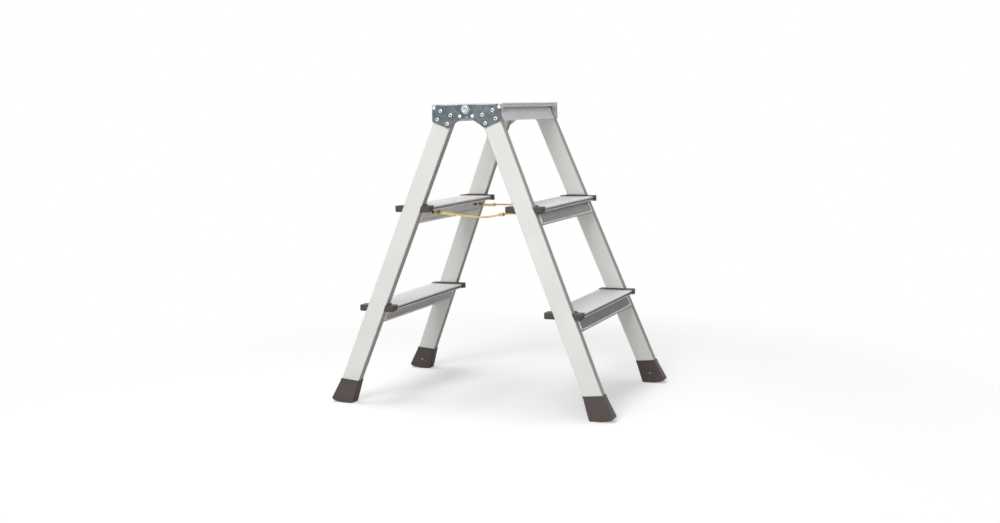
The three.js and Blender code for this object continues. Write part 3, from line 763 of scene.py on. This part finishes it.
def rope_details(name, end, path):
    """The knots on a rope and its doubled stretch."""
    made = []

    def at(x):
        return min(path, key=lambda p: abs(p.x - x))

    def add(piece_name, bm, material, side):
        place = (f"rope_{name}_{side}_half", 1, 1)
        made.append(make_piece(piece_name, bm, material, place, sharp=60))

    knots = ROPE_KNOTS[name]
    for number, (x, size, material) in enumerate(knots, 1):
        bm = knot(at(x), size, KNOT_STRAND, number, KNOT_STRETCH)
        add(f"rope_knot_{name}_{number}", bm, material, "left" if x < 0 else "right")
    out, up = DOUBLED_OFFSET
    first, last = knots[0][0], knots[1][0]
    doubled = [p + Vector((0, end * out, up)) for p in path if first <= p.x <= last]
    bm = lay_strands(doubled, DOUBLED_RADIUS, DOUBLED_STRAND, DOUBLED_LAY)
    add(f"rope_doubled_{name}", bm, ROPE, "left")
    for side_name, side in SIDES:
        bm = knot(at(side * ANCHOR_X), *ANCHOR_KNOT)
        add(f"rope_anchor_knot_{name}_{side_name}", bm, DARK_ROPE, side_name)
    return made


def rope_ends(name, end, side_name, side):
    """A fixed tail with its stop knot, a dark red-brown wrap that is painted shade, its disc, and
    an eyelet.
    """
    y = end * ROPE_Y

    def add(kind, bm, material, slot, nodes=(), sharp=32):
        return make_piece(f"{kind}_{name}_{side_name}", bm, material,
                          (f"{side_name}_frame", side, 1),
                          [f"{node}_{name}_{side_name}" for node in nodes], sharp=sharp)

    count = int(STOP_KNOT_X - WASHER_X) + 3
    tail = joined(
        lay_strands([Vector((TAIL_START + i, y, ROPE_LEVEL)) for i in range(count)]),
        knot(Vector((STOP_KNOT_X, y, ROPE_LEVEL)), *STOP_KNOT),
    )
    # The wrap's dark red-brown is painted shade on the stub.
    wraps = []
    for t in steps(160):
        x = mixed(WRAP_START, WRAP_STOP, t)
        a = 2 * pi * (x - WRAP_START) / WRAP_PITCH
        wraps.append(Vector((x, y + WRAP_RADIUS * cos(a), ROPE_LEVEL + WRAP_RADIUS * sin(a))))
    disc = turned(ROPE_DISC, (WASHER_X, y, ROPE_LEVEL), FACING_X, 36)
    with_rope = [
        add("rope_tail", tail, ROPE, "yellow_rope", ["rope_end"], 60),
        add("rope_shade_wrap", tube(wraps, WRAP_THREAD, 6), RED_BROWN_PAINTED_SHADE, "yellow_rope", sharp=60),
        add("rope_disc", disc, CREAM, "cream_plastic", ["rope_washer"]),
    ]
    ring = turned(EYELET, (WALL_X, y, ROPE_LEVEL), FACING_IN)
    add("eyelet", ring, BRIGHT, "bright_steel", ["rope_eyelet"])
    return with_rope


def make_rope(name, end, left, right, middle):
    path = rope_path(end, left, right, middle)
    halves = [f"rope_half_{name}_{side_name}" for side_name, _ in SIDES]
    rope = make_piece(f"tie_rope_{name}", lay_strands(path), ROPE, (None, 1, 1),
                      halves, sharp=60)
    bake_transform(rope)
    along = rope_details(name, end, path)
    for side_name, side in SIDES:
        along += rope_ends(name, end, side_name, side)


# ---- stiles ----

STILE_AXES = Matrix.Rotation(SPLAY, 3, "X") @ Matrix.Rotation(-atan(SLOPE * cos(SPLAY)), 3, "Y")
STILE_DIRECTION = STILE_AXES @ Vector((0, 0, 1))
STILE_BASE = Vector((stile_x(0), middle_y(0), 0))


def stile_section(margin, height):
    """The stile's outline with a margin, cut level at a height."""
    width, depth = STILE_FACE + 2 * margin, STILE_THICKNESS + 2 * margin
    ring = []
    for p in rounded_rectangle(width, depth, STILE_CORNER + margin):
        start = STILE_BASE + STILE_AXES @ Vector((p.x, p.y, 0))
        ring.append(start + STILE_DIRECTION * ((height - start.z) / STILE_DIRECTION.z))
    return ring


def stile_envelope(z0, z1):
    return loft([stile_section(CLEARANCE, z) for z in (z0, z1)])


def along_stile(distance, across):
    """A place on the hinge plate, in x and z from the axis."""
    offset = stile_x(PIVOT_Z) * cos(LEAN) + across
    return (
        offset * cos(LEAN) + distance * sin(LEAN),
        offset * sin(LEAN) - distance * cos(LEAN),
    )


RIVET_START = 24.3  # from the pin down the stile to the first row
RIVET_PITCH = 19
RIVET_OFFSET = 12.5  # from the stile's middle line
STILE_RIVETS = [
    along_stile(RIVET_START + RIVET_PITCH * row, edge * RIVET_OFFSET)
    for row in (0, 1) for edge in (-1, 1)
]
TUBE_SHANK = 2.6


def make_stile():
    low, high = STILE_LIFT, TOP - TREAD_PLATE - CLEARANCE
    outer = [stile_section(0, z) for z in (low, high)]
    inner = [stile_section(-STILE_WALL, z) for z in (high, low)]
    profile = rectangle((0, TUBE_SHANK + CLEARANCE), (0, STILE_THICKNESS))
    holes = [
        turned(profile, (x, middle_y(PIVOT_Z + z), PIVOT_Z + z), FACING_Y, 16)
        for x, z in STILE_RIVETS
    ]
    return cut(loft([*outer, *inner], close=True), joined(*holes))


def make_stiles():
    for corner, place in corners():
        bm = make_stile()
        bm.normal_update()
        # Narrow faces take the second material: painted shade.
        for face in bm.faces:
            face.material_index = 1 if abs(face.normal.x) > 0.9 else 0
        grain = STILE_DIRECTION * Vector((*place[1:], 1))
        make_piece(f"stile_tube_{corner}", bm, (STILE_METAL, NARROW_FACE_PAINTED_SHADE), place,
                   [f"stile_{corner}"], grain, sharp=28)


# ---- treads ----

RIB_PITCH = 3.4
RIB_DEPTH = 0.45
RIB_MOUTH = 0.65  # half the groove's width at the top, and at its floor
RIB_FLOOR = 0.35
RIB_MARGIN = 7.5
ROPE_HOLE = 4.9
BLOCK_LENGTH = 12  # the blocks that close a top tread's nosing at its ends
BLOCK_DEPTH = 13.2


def ribbed_top():
    """The tread's upper surface, with shallow lengthwise grooves."""
    points = []
    count = int((TREAD_DEPTH - 2 * RIB_MARGIN) // RIB_PITCH)
    for i in range(count + 1):
        x = (i - count / 2) * RIB_PITCH
        points += [
            (x - RIB_MOUTH, 0), (x - RIB_FLOOR, -RIB_DEPTH),
            (x + RIB_FLOOR, -RIB_DEPTH), (x + RIB_MOUTH, 0),
        ]
    return points


def nose_outline(side):
    """From the nosing's top corner round its groove and lip to the underside of the plate."""
    top, bottom, deep = GROOVE_TOP, GROOVE_BOTTOM, GROOVE_DEPTH
    lip, inside = NOSE_HEIGHT - NOSE_WALL, deep + NOSE_WALL
    points = [  # distance inside the edge, depth, corner radius
        (0, 0, 2.0), (0, top, 0.8), (deep, top + 0.3, 0.6), (deep, bottom - 0.3, 0.6),
        (0, bottom, 0.8), (0, NOSE_HEIGHT, 0.9), (NOSE_DEPTH, NOSE_HEIGHT, 0.8),
        (NOSE_DEPTH, lip, 0.8), (inside, lip, 0.6), (inside, TREAD_PLATE, 0.8),
    ]
    return [(side * (HALF_DEPTH - inset), -depth, radius) for inset, depth, radius in points]


def leg_outline(edge):
    """One leaning wall with the thicker band at its foot, from inside the plate down."""
    start, foot = TREAD_PLATE - 0.4, TREAD_HEIGHT
    lip, band = foot - LIP_HEIGHT, foot - LIP_SHADE
    points = [  # depth at the wall, reach outside it, drop, corner radius
        (start, 0, 0, 0), (lip, 0, 0.1, 0.5), (lip, LIP_REACH, 0.2, 1.3), (band, LIP_REACH, 0, 0),
        (foot, LIP_REACH, 0, 1.4), (foot, -TREAD_WALL, 0, 0.6), (start, -TREAD_WALL, 0, 0),
    ]
    return [
        (wall_x(depth, edge) + edge * reach, -depth - drop, radius)
        for depth, reach, drop, radius in points
    ]


def make_board(level, ends):
    """The plate with its nosings; the nosings' grooves take the second material, the wall tone:
    painted shade on the middle and bottom treads, the wall's painted light on the top one.
    """
    outline = nose_outline(1)
    if level == "top":
        outline += [(-HALF_DEPTH, -TREAD_PLATE, 0.3), (-HALF_DEPTH, 0, 0.8)]
    else:
        outline += list(reversed(nose_outline(-1)))
    board = along_y(rounded(outline, 0.5, 3) + ribbed_top(), ends)
    for face in board.faces:
        middle = face.calc_center_median()
        across = HALF_DEPTH - NOSE_DEPTH + 1 < abs(middle.x) < HALF_DEPTH - 0.6
        deep = -GROOVE_BOTTOM < middle.z < -GROOVE_TOP
        face.material_index = 1 if across and deep else 0
    return board


def make_leg(edge, ends, holes):
    """A wall: its lip's upper half takes the first material as a painted highlight, the rest the
    second or third, the walls' painted light and shade.
    """
    leg = along_y(rounded(leg_outline(edge), 0.5, 3), ends)
    if holes:
        depth = LEVELS["middle"] - ROPE_LEVEL
        bore = rectangle((0, ROPE_HOLE), (-8, 8))
        leg = cut(leg, joined(*(
            turned(bore, (wall_x(depth, edge), y, -depth), FACING_IN, 20)
            for y in (-ROPE_Y, ROPE_Y)
        )))
    wall = 1 if edge > 0 else 2
    for face in leg.faces:
        depth = -face.calc_center_median().z
        # The lip's upper band is a painted highlight in the tread's tone; below it lies painted
        # shade.
        light = TREAD_HEIGHT - LIP_HEIGHT < depth < TREAD_HEIGHT - LIP_SHADE
        face.material_index = 0 if light else wall
    return leg


def make_tread(level):
    z = LEVELS[level]

    def cut_end(height):
        return inner_y(z + height) - CLEARANCE

    between = (lambda height: -cut_end(height), cut_end)
    whole = (-HALF_WIDTH_TOP, HALF_WIDTH_TOP)
    parts = [make_board(level, whole if level == "top" else between)]
    for edge in (-1, 1):
        parts.append(make_leg(edge, between, level == "middle" and edge < 0))
    if level == "top":
        nose = [(x, min(h, -TREAD_PLATE + 0.4), r) for x, h, r in nose_outline(-1)]
        parts.append(along_y(rounded(nose, 0.5, 3), between))
        for sign in (-1, 1):
            y = sorted(sign * (HALF_WIDTH_TOP - inset) for inset in (BLOCK_LENGTH, CLEARANCE))
            x = (HALF_DEPTH - NOSE_DEPTH + 0.3, HALF_DEPTH - GROOVE_DEPTH - 0.2)
            parts.append(box(x, y, (-BLOCK_DEPTH, -TREAD_PLATE + 0.3)))
    tread = joined(*parts)
    bmesh.ops.translate(tread, vec=(tread_x(z), 0, z), verts=tread.verts)
    return tread


def make_treads():
    for level in LEVELS:
        # Second and third materials: the walls' painted light and shade for this level.
        metals = (TREAD_METAL, OUTER_WALL_PAINTED_SHADING[level], INNER_WALL_PAINTED_SHADING[level])
        for side_name, side in SIDES:
            make_piece(f"tread_board_{side_name}_{level}", make_tread(level), metals,
                       (f"{side_name}_frame", side, 1),
                       [f"tread_{side_name}_{level}"], sharp=28)


# ---- end caps ----

CAP_RISE = 1.5
CAP_MIDDLE_RISE = 3.8
CAP_MIDDLE_MARGIN = 5
CAP_RAIL = 4
CAP_TONGUE = 9
CAP_LIP = 1.2
CAP_CORNER = 2.2
CAP_HEIGHTS = (10.2, 12)  # at the inner and the outer side
CAP_LOWER = [(1, 1.8), (0.985, 1.1), (0.94, 0.45), (0.85, 0.08), (0.75, 0), (0, 0)]  # drop, inset
CAP_UPPER = [(1.0, 0), (0.3, 0.3), (0, 1.0)]  # distance below the cap's top, inset


def cap_ring(x, y, z):
    """A ring with rounded outer corners; z is its height at its inner and outer side."""
    outline = [(*p, r) for p, r in zip(rectangle(x, y), (0, 0, CAP_CORNER, CAP_CORNER))]
    slope = (z[1] - z[0]) / (y[1] - y[0])
    return [(p.x, p.y, z[0] + slope * (p.y - y[0])) for p in rounded(outline, 0)]


def cap_block(top, start, stop):
    """The cap's main block, fitted round the stile."""
    over = top + CAP_RISE
    rings = []
    for drop, inset in CAP_LOWER:
        z = [top - drop * height for height in CAP_HEIGHTS]
        y = (inner_y(z[0]), outer_y(top) - inset)
        rings.append(cap_ring((start + inset, stop - inset), y, z))
    for below, inset in CAP_UPPER:
        y = (inner_y(top) - 1.5, outer_y(top) - inset)
        rings.append(cap_ring((start + inset, stop - inset), y, (over - below, over - below)))
    return cut(loft(rings), stile_envelope(top - 30, over + 20))


def make_cap(top):
    start = tread_x(top) - HALF_DEPTH - CAP_LIP
    stop = tread_x(top) + HALF_DEPTH + CAP_LIP
    low, over, inner = top + 0.05, top + CAP_RISE, inner_y(top)
    edge = inner - CAP_RAIL
    rail_section = [
        (edge, low), (edge, over - 0.6), (edge + 0.6, over), (inner - 0.35, over),
        (inner - 0.35, low),
    ]
    rail = loft([[(x, y, z) for y, z in rail_section] for x in (start + 0.6, stop - 0.6)])
    middle, reach = stile_x(top), HALF_FACE + CAP_MIDDLE_MARGIN
    base, high = top + 0.2, top + CAP_MIDDLE_RISE
    hump = along_y(rounded([
        (middle - reach, base, 0.3), (middle + reach, base, 0.3),
        (middle + reach - 2.5, high, 1.2), (middle - reach + 2.5, high, 1.2),
    ], 1), (edge + 0.1, inner - 0.4))
    tongues = []
    for sign in (-1, 1):
        x = sorted((
            tread_x(top) + sign * (HALF_DEPTH - NOSE_DEPTH + CLEARANCE),
            tread_x(top) + sign * (HALF_DEPTH - GROOVE_DEPTH - NOSE_WALL - CLEARANCE),
        ))
        z = (top - NOSE_HEIGHT + NOSE_WALL + CLEARANCE, top - TREAD_PLATE - CLEARANCE)
        tongues.append(box(x, (inner - CAP_TONGUE, inner + 1), z))
    return joined(cap_block(top, start, stop), rail, hump, *tongues)


def make_caps():
    for level in ("bottom", "middle"):
        for corner, place in corners():
            make_piece(f"nosing_cap_{corner}_{level}", make_cap(LEVELS[level]), PLASTIC, place,
                       [f"end_cap_{corner}_{level}"], sharp=35)


# ---- feet ----

FOOT_HEIGHT = 52
FOOT_TILT = tan(radians(4.8))
FOOT_RIM = 1.4
FOOT_FLARE = 6.5
FOOT_SIDE_FLARE = 3
FOOT_TOE = 3
FOOT_HEEL = ((26.5, 0), (8.5, 3.2), (2.6, 5.8), (0, 9))  # distance inside the heel, height
FOOT_LIP = 4.5
FOOT_LEVEL = 12  # rings up to here lie level; above they tilt
FOOT_CORNER = 2.4
FOOT_HALF = HALF_FACE + FOOT_RIM
FOOT_HIGH_RIM = FOOT_HEIGHT + FOOT_HALF * FOOT_TILT
FOOT_LOW_RIM = FOOT_HEIGHT - FOOT_HALF * FOOT_TILT
FOOT_LIP_Z = FOOT_HEIGHT - FOOT_LIP
FOOT_PROFILE = [  # height, inset
    (0, 0.9), (0.3, 0.45), (0.8, 0.15), (1.6, 0), (2.4, 0), (3.2, 0), (4.5, 0), (5.8, 0),
    (7.2, 0), (9, 0), (11, 0), (18, 0), (26, 0.15), (36, 0.3), (FOOT_LIP_Z - 1.4, 0.4),
    (FOOT_LIP_Z, 0.45), (FOOT_LIP_Z + 0.4, 0.1), (FOOT_LIP_Z + 0.9, 0), (FOOT_HEIGHT - 0.5, 0),
    (FOOT_HEIGHT - 0.1, 0.15), (FOOT_HEIGHT, 0.4),
]
SOLE_GROOVES = (5, 11.5, 18)  # from the toe
SOLE_GROOVE_HALF = 1.1
SOLE_GROOVE_DEPTH = 1.3
FOOT_RIVET_Z = 23
FOOT_RIVET_BORE = 1.8


def foot_faces(z):
    """Inner and outer face of the shoe in Y at a height."""
    t = z / FOOT_HIGH_RIM
    low = mixed(inner_y(0) - FOOT_SIDE_FLARE, inner_y(FOOT_HIGH_RIM) - FOOT_RIM, t)
    high = mixed(outer_y(0) + FOOT_SIDE_FLARE, outer_y(FOOT_HIGH_RIM) + FOOT_RIM, t)
    return low, high


def foot_ends(z):
    """Toe and heel of the shoe in X at a height; the sole's toe is round and its heel turns up."""
    toe = stile_x(0) - HALF_FACE - FOOT_FLARE
    if z < FOOT_TOE:
        toe += FOOT_TOE - sqrt(FOOT_TOE**2 - (FOOT_TOE - z) ** 2)
    else:
        t = (z - FOOT_TOE) / (FOOT_LOW_RIM - FOOT_TOE)
        toe = mixed(toe, stile_x(FOOT_LOW_RIM) - FOOT_HALF, t)
    start = FOOT_HEEL[-1][1]
    heel = stile_x(start) + HALF_FACE + FOOT_FLARE
    if z > start:
        t = (z - start) / (FOOT_HIGH_RIM - start)
        return toe, mixed(heel, stile_x(FOOT_HIGH_RIM) + FOOT_HALF, t)
    for (inside, low), (next_inside, high) in zip(FOOT_HEEL, FOOT_HEEL[1:]):
        if low <= z <= high:
            return toe, heel - mixed(inside, next_inside, (z - low) / (high - low))


def foot_ring(height, inset):
    """One ring of the shoe, at a height at its middle; the upper rings tilt like the rim."""
    tilt = FOOT_TILT * min(max((height - FOOT_LEVEL) / (FOOT_HEIGHT - FOOT_LEVEL), 0), 1)
    toe, heel = foot_ends(height)
    low, high = foot_faces(height)
    outline = rectangle((toe + inset, heel - inset), (low + inset, high - inset))
    ring = []
    for p in rounded(outline, FOOT_CORNER):
        across = (p.x - (toe + heel) / 2) / (heel - toe) * 2
        z = height + across * FOOT_HALF * tilt
        shift = (foot_ends(z)[across > 0] - foot_ends(height)[across > 0]) * abs(across)
        ring.append((p.x + shift, p.y, z))
    return ring


def make_foot():
    """The shoe with its socket for the stile, its sole's grooves and its rivet's hole."""
    shell = loft([foot_ring(height, inset) for height, inset in FOOT_PROFILE])
    y, z = (inner_y(0) - 10, outer_y(0) + 10), (-1, SOLE_GROOVE_DEPTH)
    middles = [foot_ends(0)[0] + place for place in SOLE_GROOVES]
    grooves = [box((x - SOLE_GROOVE_HALF, x + SOLE_GROOVE_HALF), y, z) for x in middles]
    z = FOOT_RIVET_Z
    bore = rectangle((0, FOOT_RIVET_BORE), (-30, 0))
    hole = turned(bore, (stile_x(z), middle_y(z), z), FACING_Y, 16)
    return cut(shell, stile_envelope(STILE_LIFT + 4, TOP / 4), joined(*grooves), hole)


def domed(head, rise, shank, depth):
    """A solid rivet's profile: its head springs from 0, its shank ends at -depth."""
    profile = [(0, -depth), (shank, -depth), (shank, 0), (head * 0.93, 0), (head, rise * 0.12)]
    for t in steps(7)[1:]:
        a = pi / 2 * t
        profile.append((head * cos(a), rise * (0.12 + 0.88 * sin(a))))
    profile[-1] = (0, rise)
    return profile


def make_feet():
    inward = Matrix.Rotation(pi, 4, "Z") @ FACING_Y
    z = FOOT_RIVET_Z
    point = (stile_x(z), foot_faces(z)[0] - CLEARANCE, z)
    for corner, place in corners():
        make_piece(f"shoe_{corner}", make_foot(), PLASTIC, place,
                   [f"foot_{corner}"], sharp=35)
        rivet = turned(domed(2.5, 1.1, 1.5, 5), point, inward, 24)
        make_piece(f"shoe_rivet_{corner}", rivet, DULL, place,
                   [f"foot_rivet_{corner}"])


# ---- hinge ----
# Places on a plate are x and z from the hinge's axis.

PLATE_THICKNESS = 2.5
PLATE_TOP = 9
PLATE_DROP = 24.3
PLATE_REACH = TREAD_TOP_X + HALF_DEPTH - 1.6
PLATE_POINT_X = stile_x(PIVOT_Z - PLATE_DROP) - HALF_FACE + 8.4
PLATE_ARM = 18
PLATE_OUTLINE = [  # x, z and corner radius
    (-13, PLATE_TOP, 2.5), (-PLATE_ARM, 3.8, 3), (-PLATE_ARM, -3.3, 3), (16.2, -21.8, 5),
    (PLATE_POINT_X, -PLATE_DROP - (PLATE_REACH - PLATE_POINT_X) * SLOPE, 2.5),
    (PLATE_REACH, -PLATE_DROP, 2.5), (PLATE_REACH, PLATE_TOP, 2),
]
PLATE_BEVEL = 0.35
JOGGLE_START = 18.5
JOGGLE_END = 29
PIN_RADIUS = 5
NOSE_RIVET = (TREAD_TOP_X + HALF_DEPTH - 5.8, 3.6)
NECK_RIVET = (14.8, -14.4)
DOME = (4.2, 2.2, 2.2)  # head radius, rise and shank radius

TUBE_SIDES = 32
TUBE_RIVET = [  # starts with its bore's floor and wall
    (0, -2.2), (1.6, -2.2), (1.6, 0.5), (1.8, 0.95), (2.3, 1.2), (3.1, 1.15), (3.8, 0.8),
    (4.2, 0.3), (4.2, 0), (2.6, 0), (2.6, -8), (0, -8),
]
PIN_SIDES = 48
PIN_HEAD = [  # starts with its dish
    (0, 0.9), (4.6, 0.85), (5.3, 1.0), (5.8, 1.45), (6.3, 1.65), (6.8, 1.4), (7.15, 0.8),
    (7.2, 0.3), (7.0, 0),
]
PIN_TAIL = [(7.0, 0), (7.2, 0.5), (6.6, 1.2), (4.5, 1.6), (0, 1.7)]
WASHER_THICKNESS = 1.2
WASHER = [
    (5.3, 0), (10.1, 0), (10.3, 0.3), (10.3, 0.8), (9.9, WASHER_THICKNESS),
    (5.6, WASHER_THICKNESS), (5.3, 0.9),
]


def plate_y(z):
    return outer_y(PIVOT_Z + z) + CLEARANCE


def arm_y(outer):
    return plate_y(0) + (PLATE_THICKNESS + CLEARANCE if outer else 0)


def make_plate(outer):
    """A plate, joggled between its arm and its field; its inner side takes the second material, a
    bright tone that is painted light.
    """
    bm = bmesh.new()
    bm.faces.new([bm.verts.new((p.x, 0, p.y)) for p in rounded(PLATE_OUTLINE, 2, 5)])
    for t in steps(6):
        x = mixed(JOGGLE_START - 1, JOGGLE_END + 1, t)
        everything = [*bm.verts, *bm.edges, *bm.faces]
        bmesh.ops.bisect_plane(bm, geom=everything, plane_co=(x, 0, 0), plane_no=(1, 0, 0))
    extruded = bmesh.ops.extrude_face_region(bm, geom=list(bm.faces))
    front = {v for v in extruded["geom"] if isinstance(v, bmesh.types.BMVert)}
    for v in bm.verts:
        t = min(max((v.co.x - JOGGLE_START) / (JOGGLE_END - JOGGLE_START), 0), 1)
        t = t * t * (3 - 2 * t)
        v.co.y = mixed(arm_y(outer), plate_y(v.co.z), t) + (PLATE_THICKNESS if v in front else 0)
    holes = [(0, 0, PIN_RADIUS + CLEARANCE), *((x, z, TUBE_SHANK) for x, z in STILE_RIVETS)]
    bores = [
        turned(rectangle((0, r), (0, 300)), (x, 0, z), FACING_Y, 24) for x, z, r in holes
    ]
    plate = cut(bm, joined(*bores))
    plate.normal_update()
    for face in plate.faces:
        face.material_index = 1 if face.normal.y < -0.7 else 0
    bmesh.ops.translate(plate, vec=(0, 0, PIVOT_Z), verts=plate.verts)
    return plate


def shade_first(bm, count):
    """Gives the first faces the second material."""
    bm.faces.ensure_lookup_table()
    for face in bm.faces[:count]:
        face.material_index = 1


def make_pin(end_name, end):
    """A hinge pin through both arms, and the washer under its outer head."""
    place, centre = ("left_frame", 1, end), (0, 0, PIVOT_Z)
    inner = arm_y(False) - CLEARANCE
    face = arm_y(True) + PLATE_THICKNESS + CLEARANCE
    outer = face + WASHER_THICKNESS + CLEARANCE
    profile = [(r, outer + h) for r, h in PIN_HEAD] + [(PIN_RADIUS, outer), (PIN_RADIUS, inner)]
    profile += [(r, inner - h) for r, h in PIN_TAIL]
    pin = turned(profile, centre, FACING_Y, PIN_SIDES)
    shade_first(pin, 3 * PIN_SIDES)
    make_piece(f"pivot_pin_{end_name}", pin, (PIN_STEEL, PIN_DISH), place,
               [f"hinge_pin_{end_name}"], sharp=50)
    washer = turned([(r, face + h) for r, h in WASHER], centre, FACING_Y, PIN_SIDES)
    make_piece(f"pivot_washer_{end_name}", washer, WASHER_ZINC, place,
               [f"hinge_washer_{end_name}"], sharp=40)


def make_leaf(corner, place):
    """One hinge plate with its rivets."""
    outer = place[1] * place[2] < 0

    def on_plate(profile, x, z, sides=32):
        point = (x, plate_y(z) + PLATE_THICKNESS, PIVOT_Z + z)
        return turned(profile, point, FACING_OUT, sides)

    leaf = make_piece(f"hinge_leaf_{corner}", make_plate(outer), (ZINC, ZINC_BACK_PAINTED_LIGHT), place,
                      [f"hinge_plate_{corner}"], sharp=30)
    bevel = leaf.modifiers.new("edges", "BEVEL")
    bevel.width = PLATE_BEVEL * MM
    bevel.segments = 2
    bevel.limit_method = "ANGLE"
    bevel.angle_limit = radians(40)
    bevel.harden_normals = True
    for number, (x, z) in enumerate(STILE_RIVETS, 1):
        rivet = on_plate(TUBE_RIVET, x, z, TUBE_SIDES)
        # The bore's floor and wall take the second material: painted shade.
        shade_first(rivet, 2 * TUBE_SIDES)
        make_piece(f"tubular_rivet_{corner}_{number}", rivet, (TUBE_METAL, BORE_PAINTED_SHADE), place,
                   [f"hinge_plate_{corner}"], sharp=50)
    x, z = NECK_RIVET
    neck = (x, arm_y(outer) + PLATE_THICKNESS, PIVOT_Z + z)
    for name, node, rivet in (
        ("nose", "nosing", on_plate(domed(*DOME, 10), *NOSE_RIVET)),
        ("plate", "neck", turned(domed(*DOME, 4), neck, FACING_Y)),
    ):
        make_piece(f"{name}_rivet_{corner}", rivet, BRIGHT, place,
                   [f"{node}_rivet_{corner}"], sharp=50)


# ---- welds ----

WELD_TOP = 10.5  # below the tread's top
WELD_END = TREAD_HEIGHT - 1.5
WELD_SINK = 0.6  # how far the bead's middle lies inside the corner
WELD_RADIUS = 2.1
WELD_RIPPLES = 9


def make_weld(level, edge, seed):
    """A short bead down the corner between a tread's wall and its stile's narrow face."""
    z = LEVELS[level]
    points = []
    for t in steps(26):
        depth = mixed(WELD_TOP, WELD_END, t)
        x = tread_x(z) + wall_x(depth, edge) - edge * WELD_SINK
        points.append(Vector((x, inner_y(z - depth) - WELD_SINK, z - depth)))

    def size(t):
        ripple = 0.28 * cos(2 * pi * WELD_RIPPLES * t + seed)
        lumps = 0.35 * noise.noise(Vector((seed * 3.1, t * 4, 0)))
        ends = min(1, 12 * t + 0.35, 12 * (1 - t) + 0.35)
        return (WELD_RADIUS + ripple + lumps) * ends

    return tube(points, size, 10)


def make_welds():
    seed = 0
    for level in LEVELS:
        for corner, place in corners():
            for edge_name, edge in (("inner", -1), ("outer", 1)):
                seed += 1
                make_piece(f"weld_{corner}_{level}_{edge_name}", make_weld(level, edge, seed),
                           WELD, place, sharp=60)


scene.view_settings.view_transform = "Standard"
make_camera()
make_world()
make_floor()
for lamp in LAMPS:
    area_light(*lamp)
make_rope("near", -1, NEAR_ROPE_LEFT, NEAR_ROPE_RIGHT, NEAR_ROPE_MIDDLE)
make_rope("far", 1, FAR_ROPE, FAR_ROPE, FAR_ROPE_MIDDLE)
make_stiles()
make_treads()
make_caps()
make_feet()
for corner in corners():
    make_leaf(*corner)
for end in ENDS:
    make_pin(*end)
make_welds()
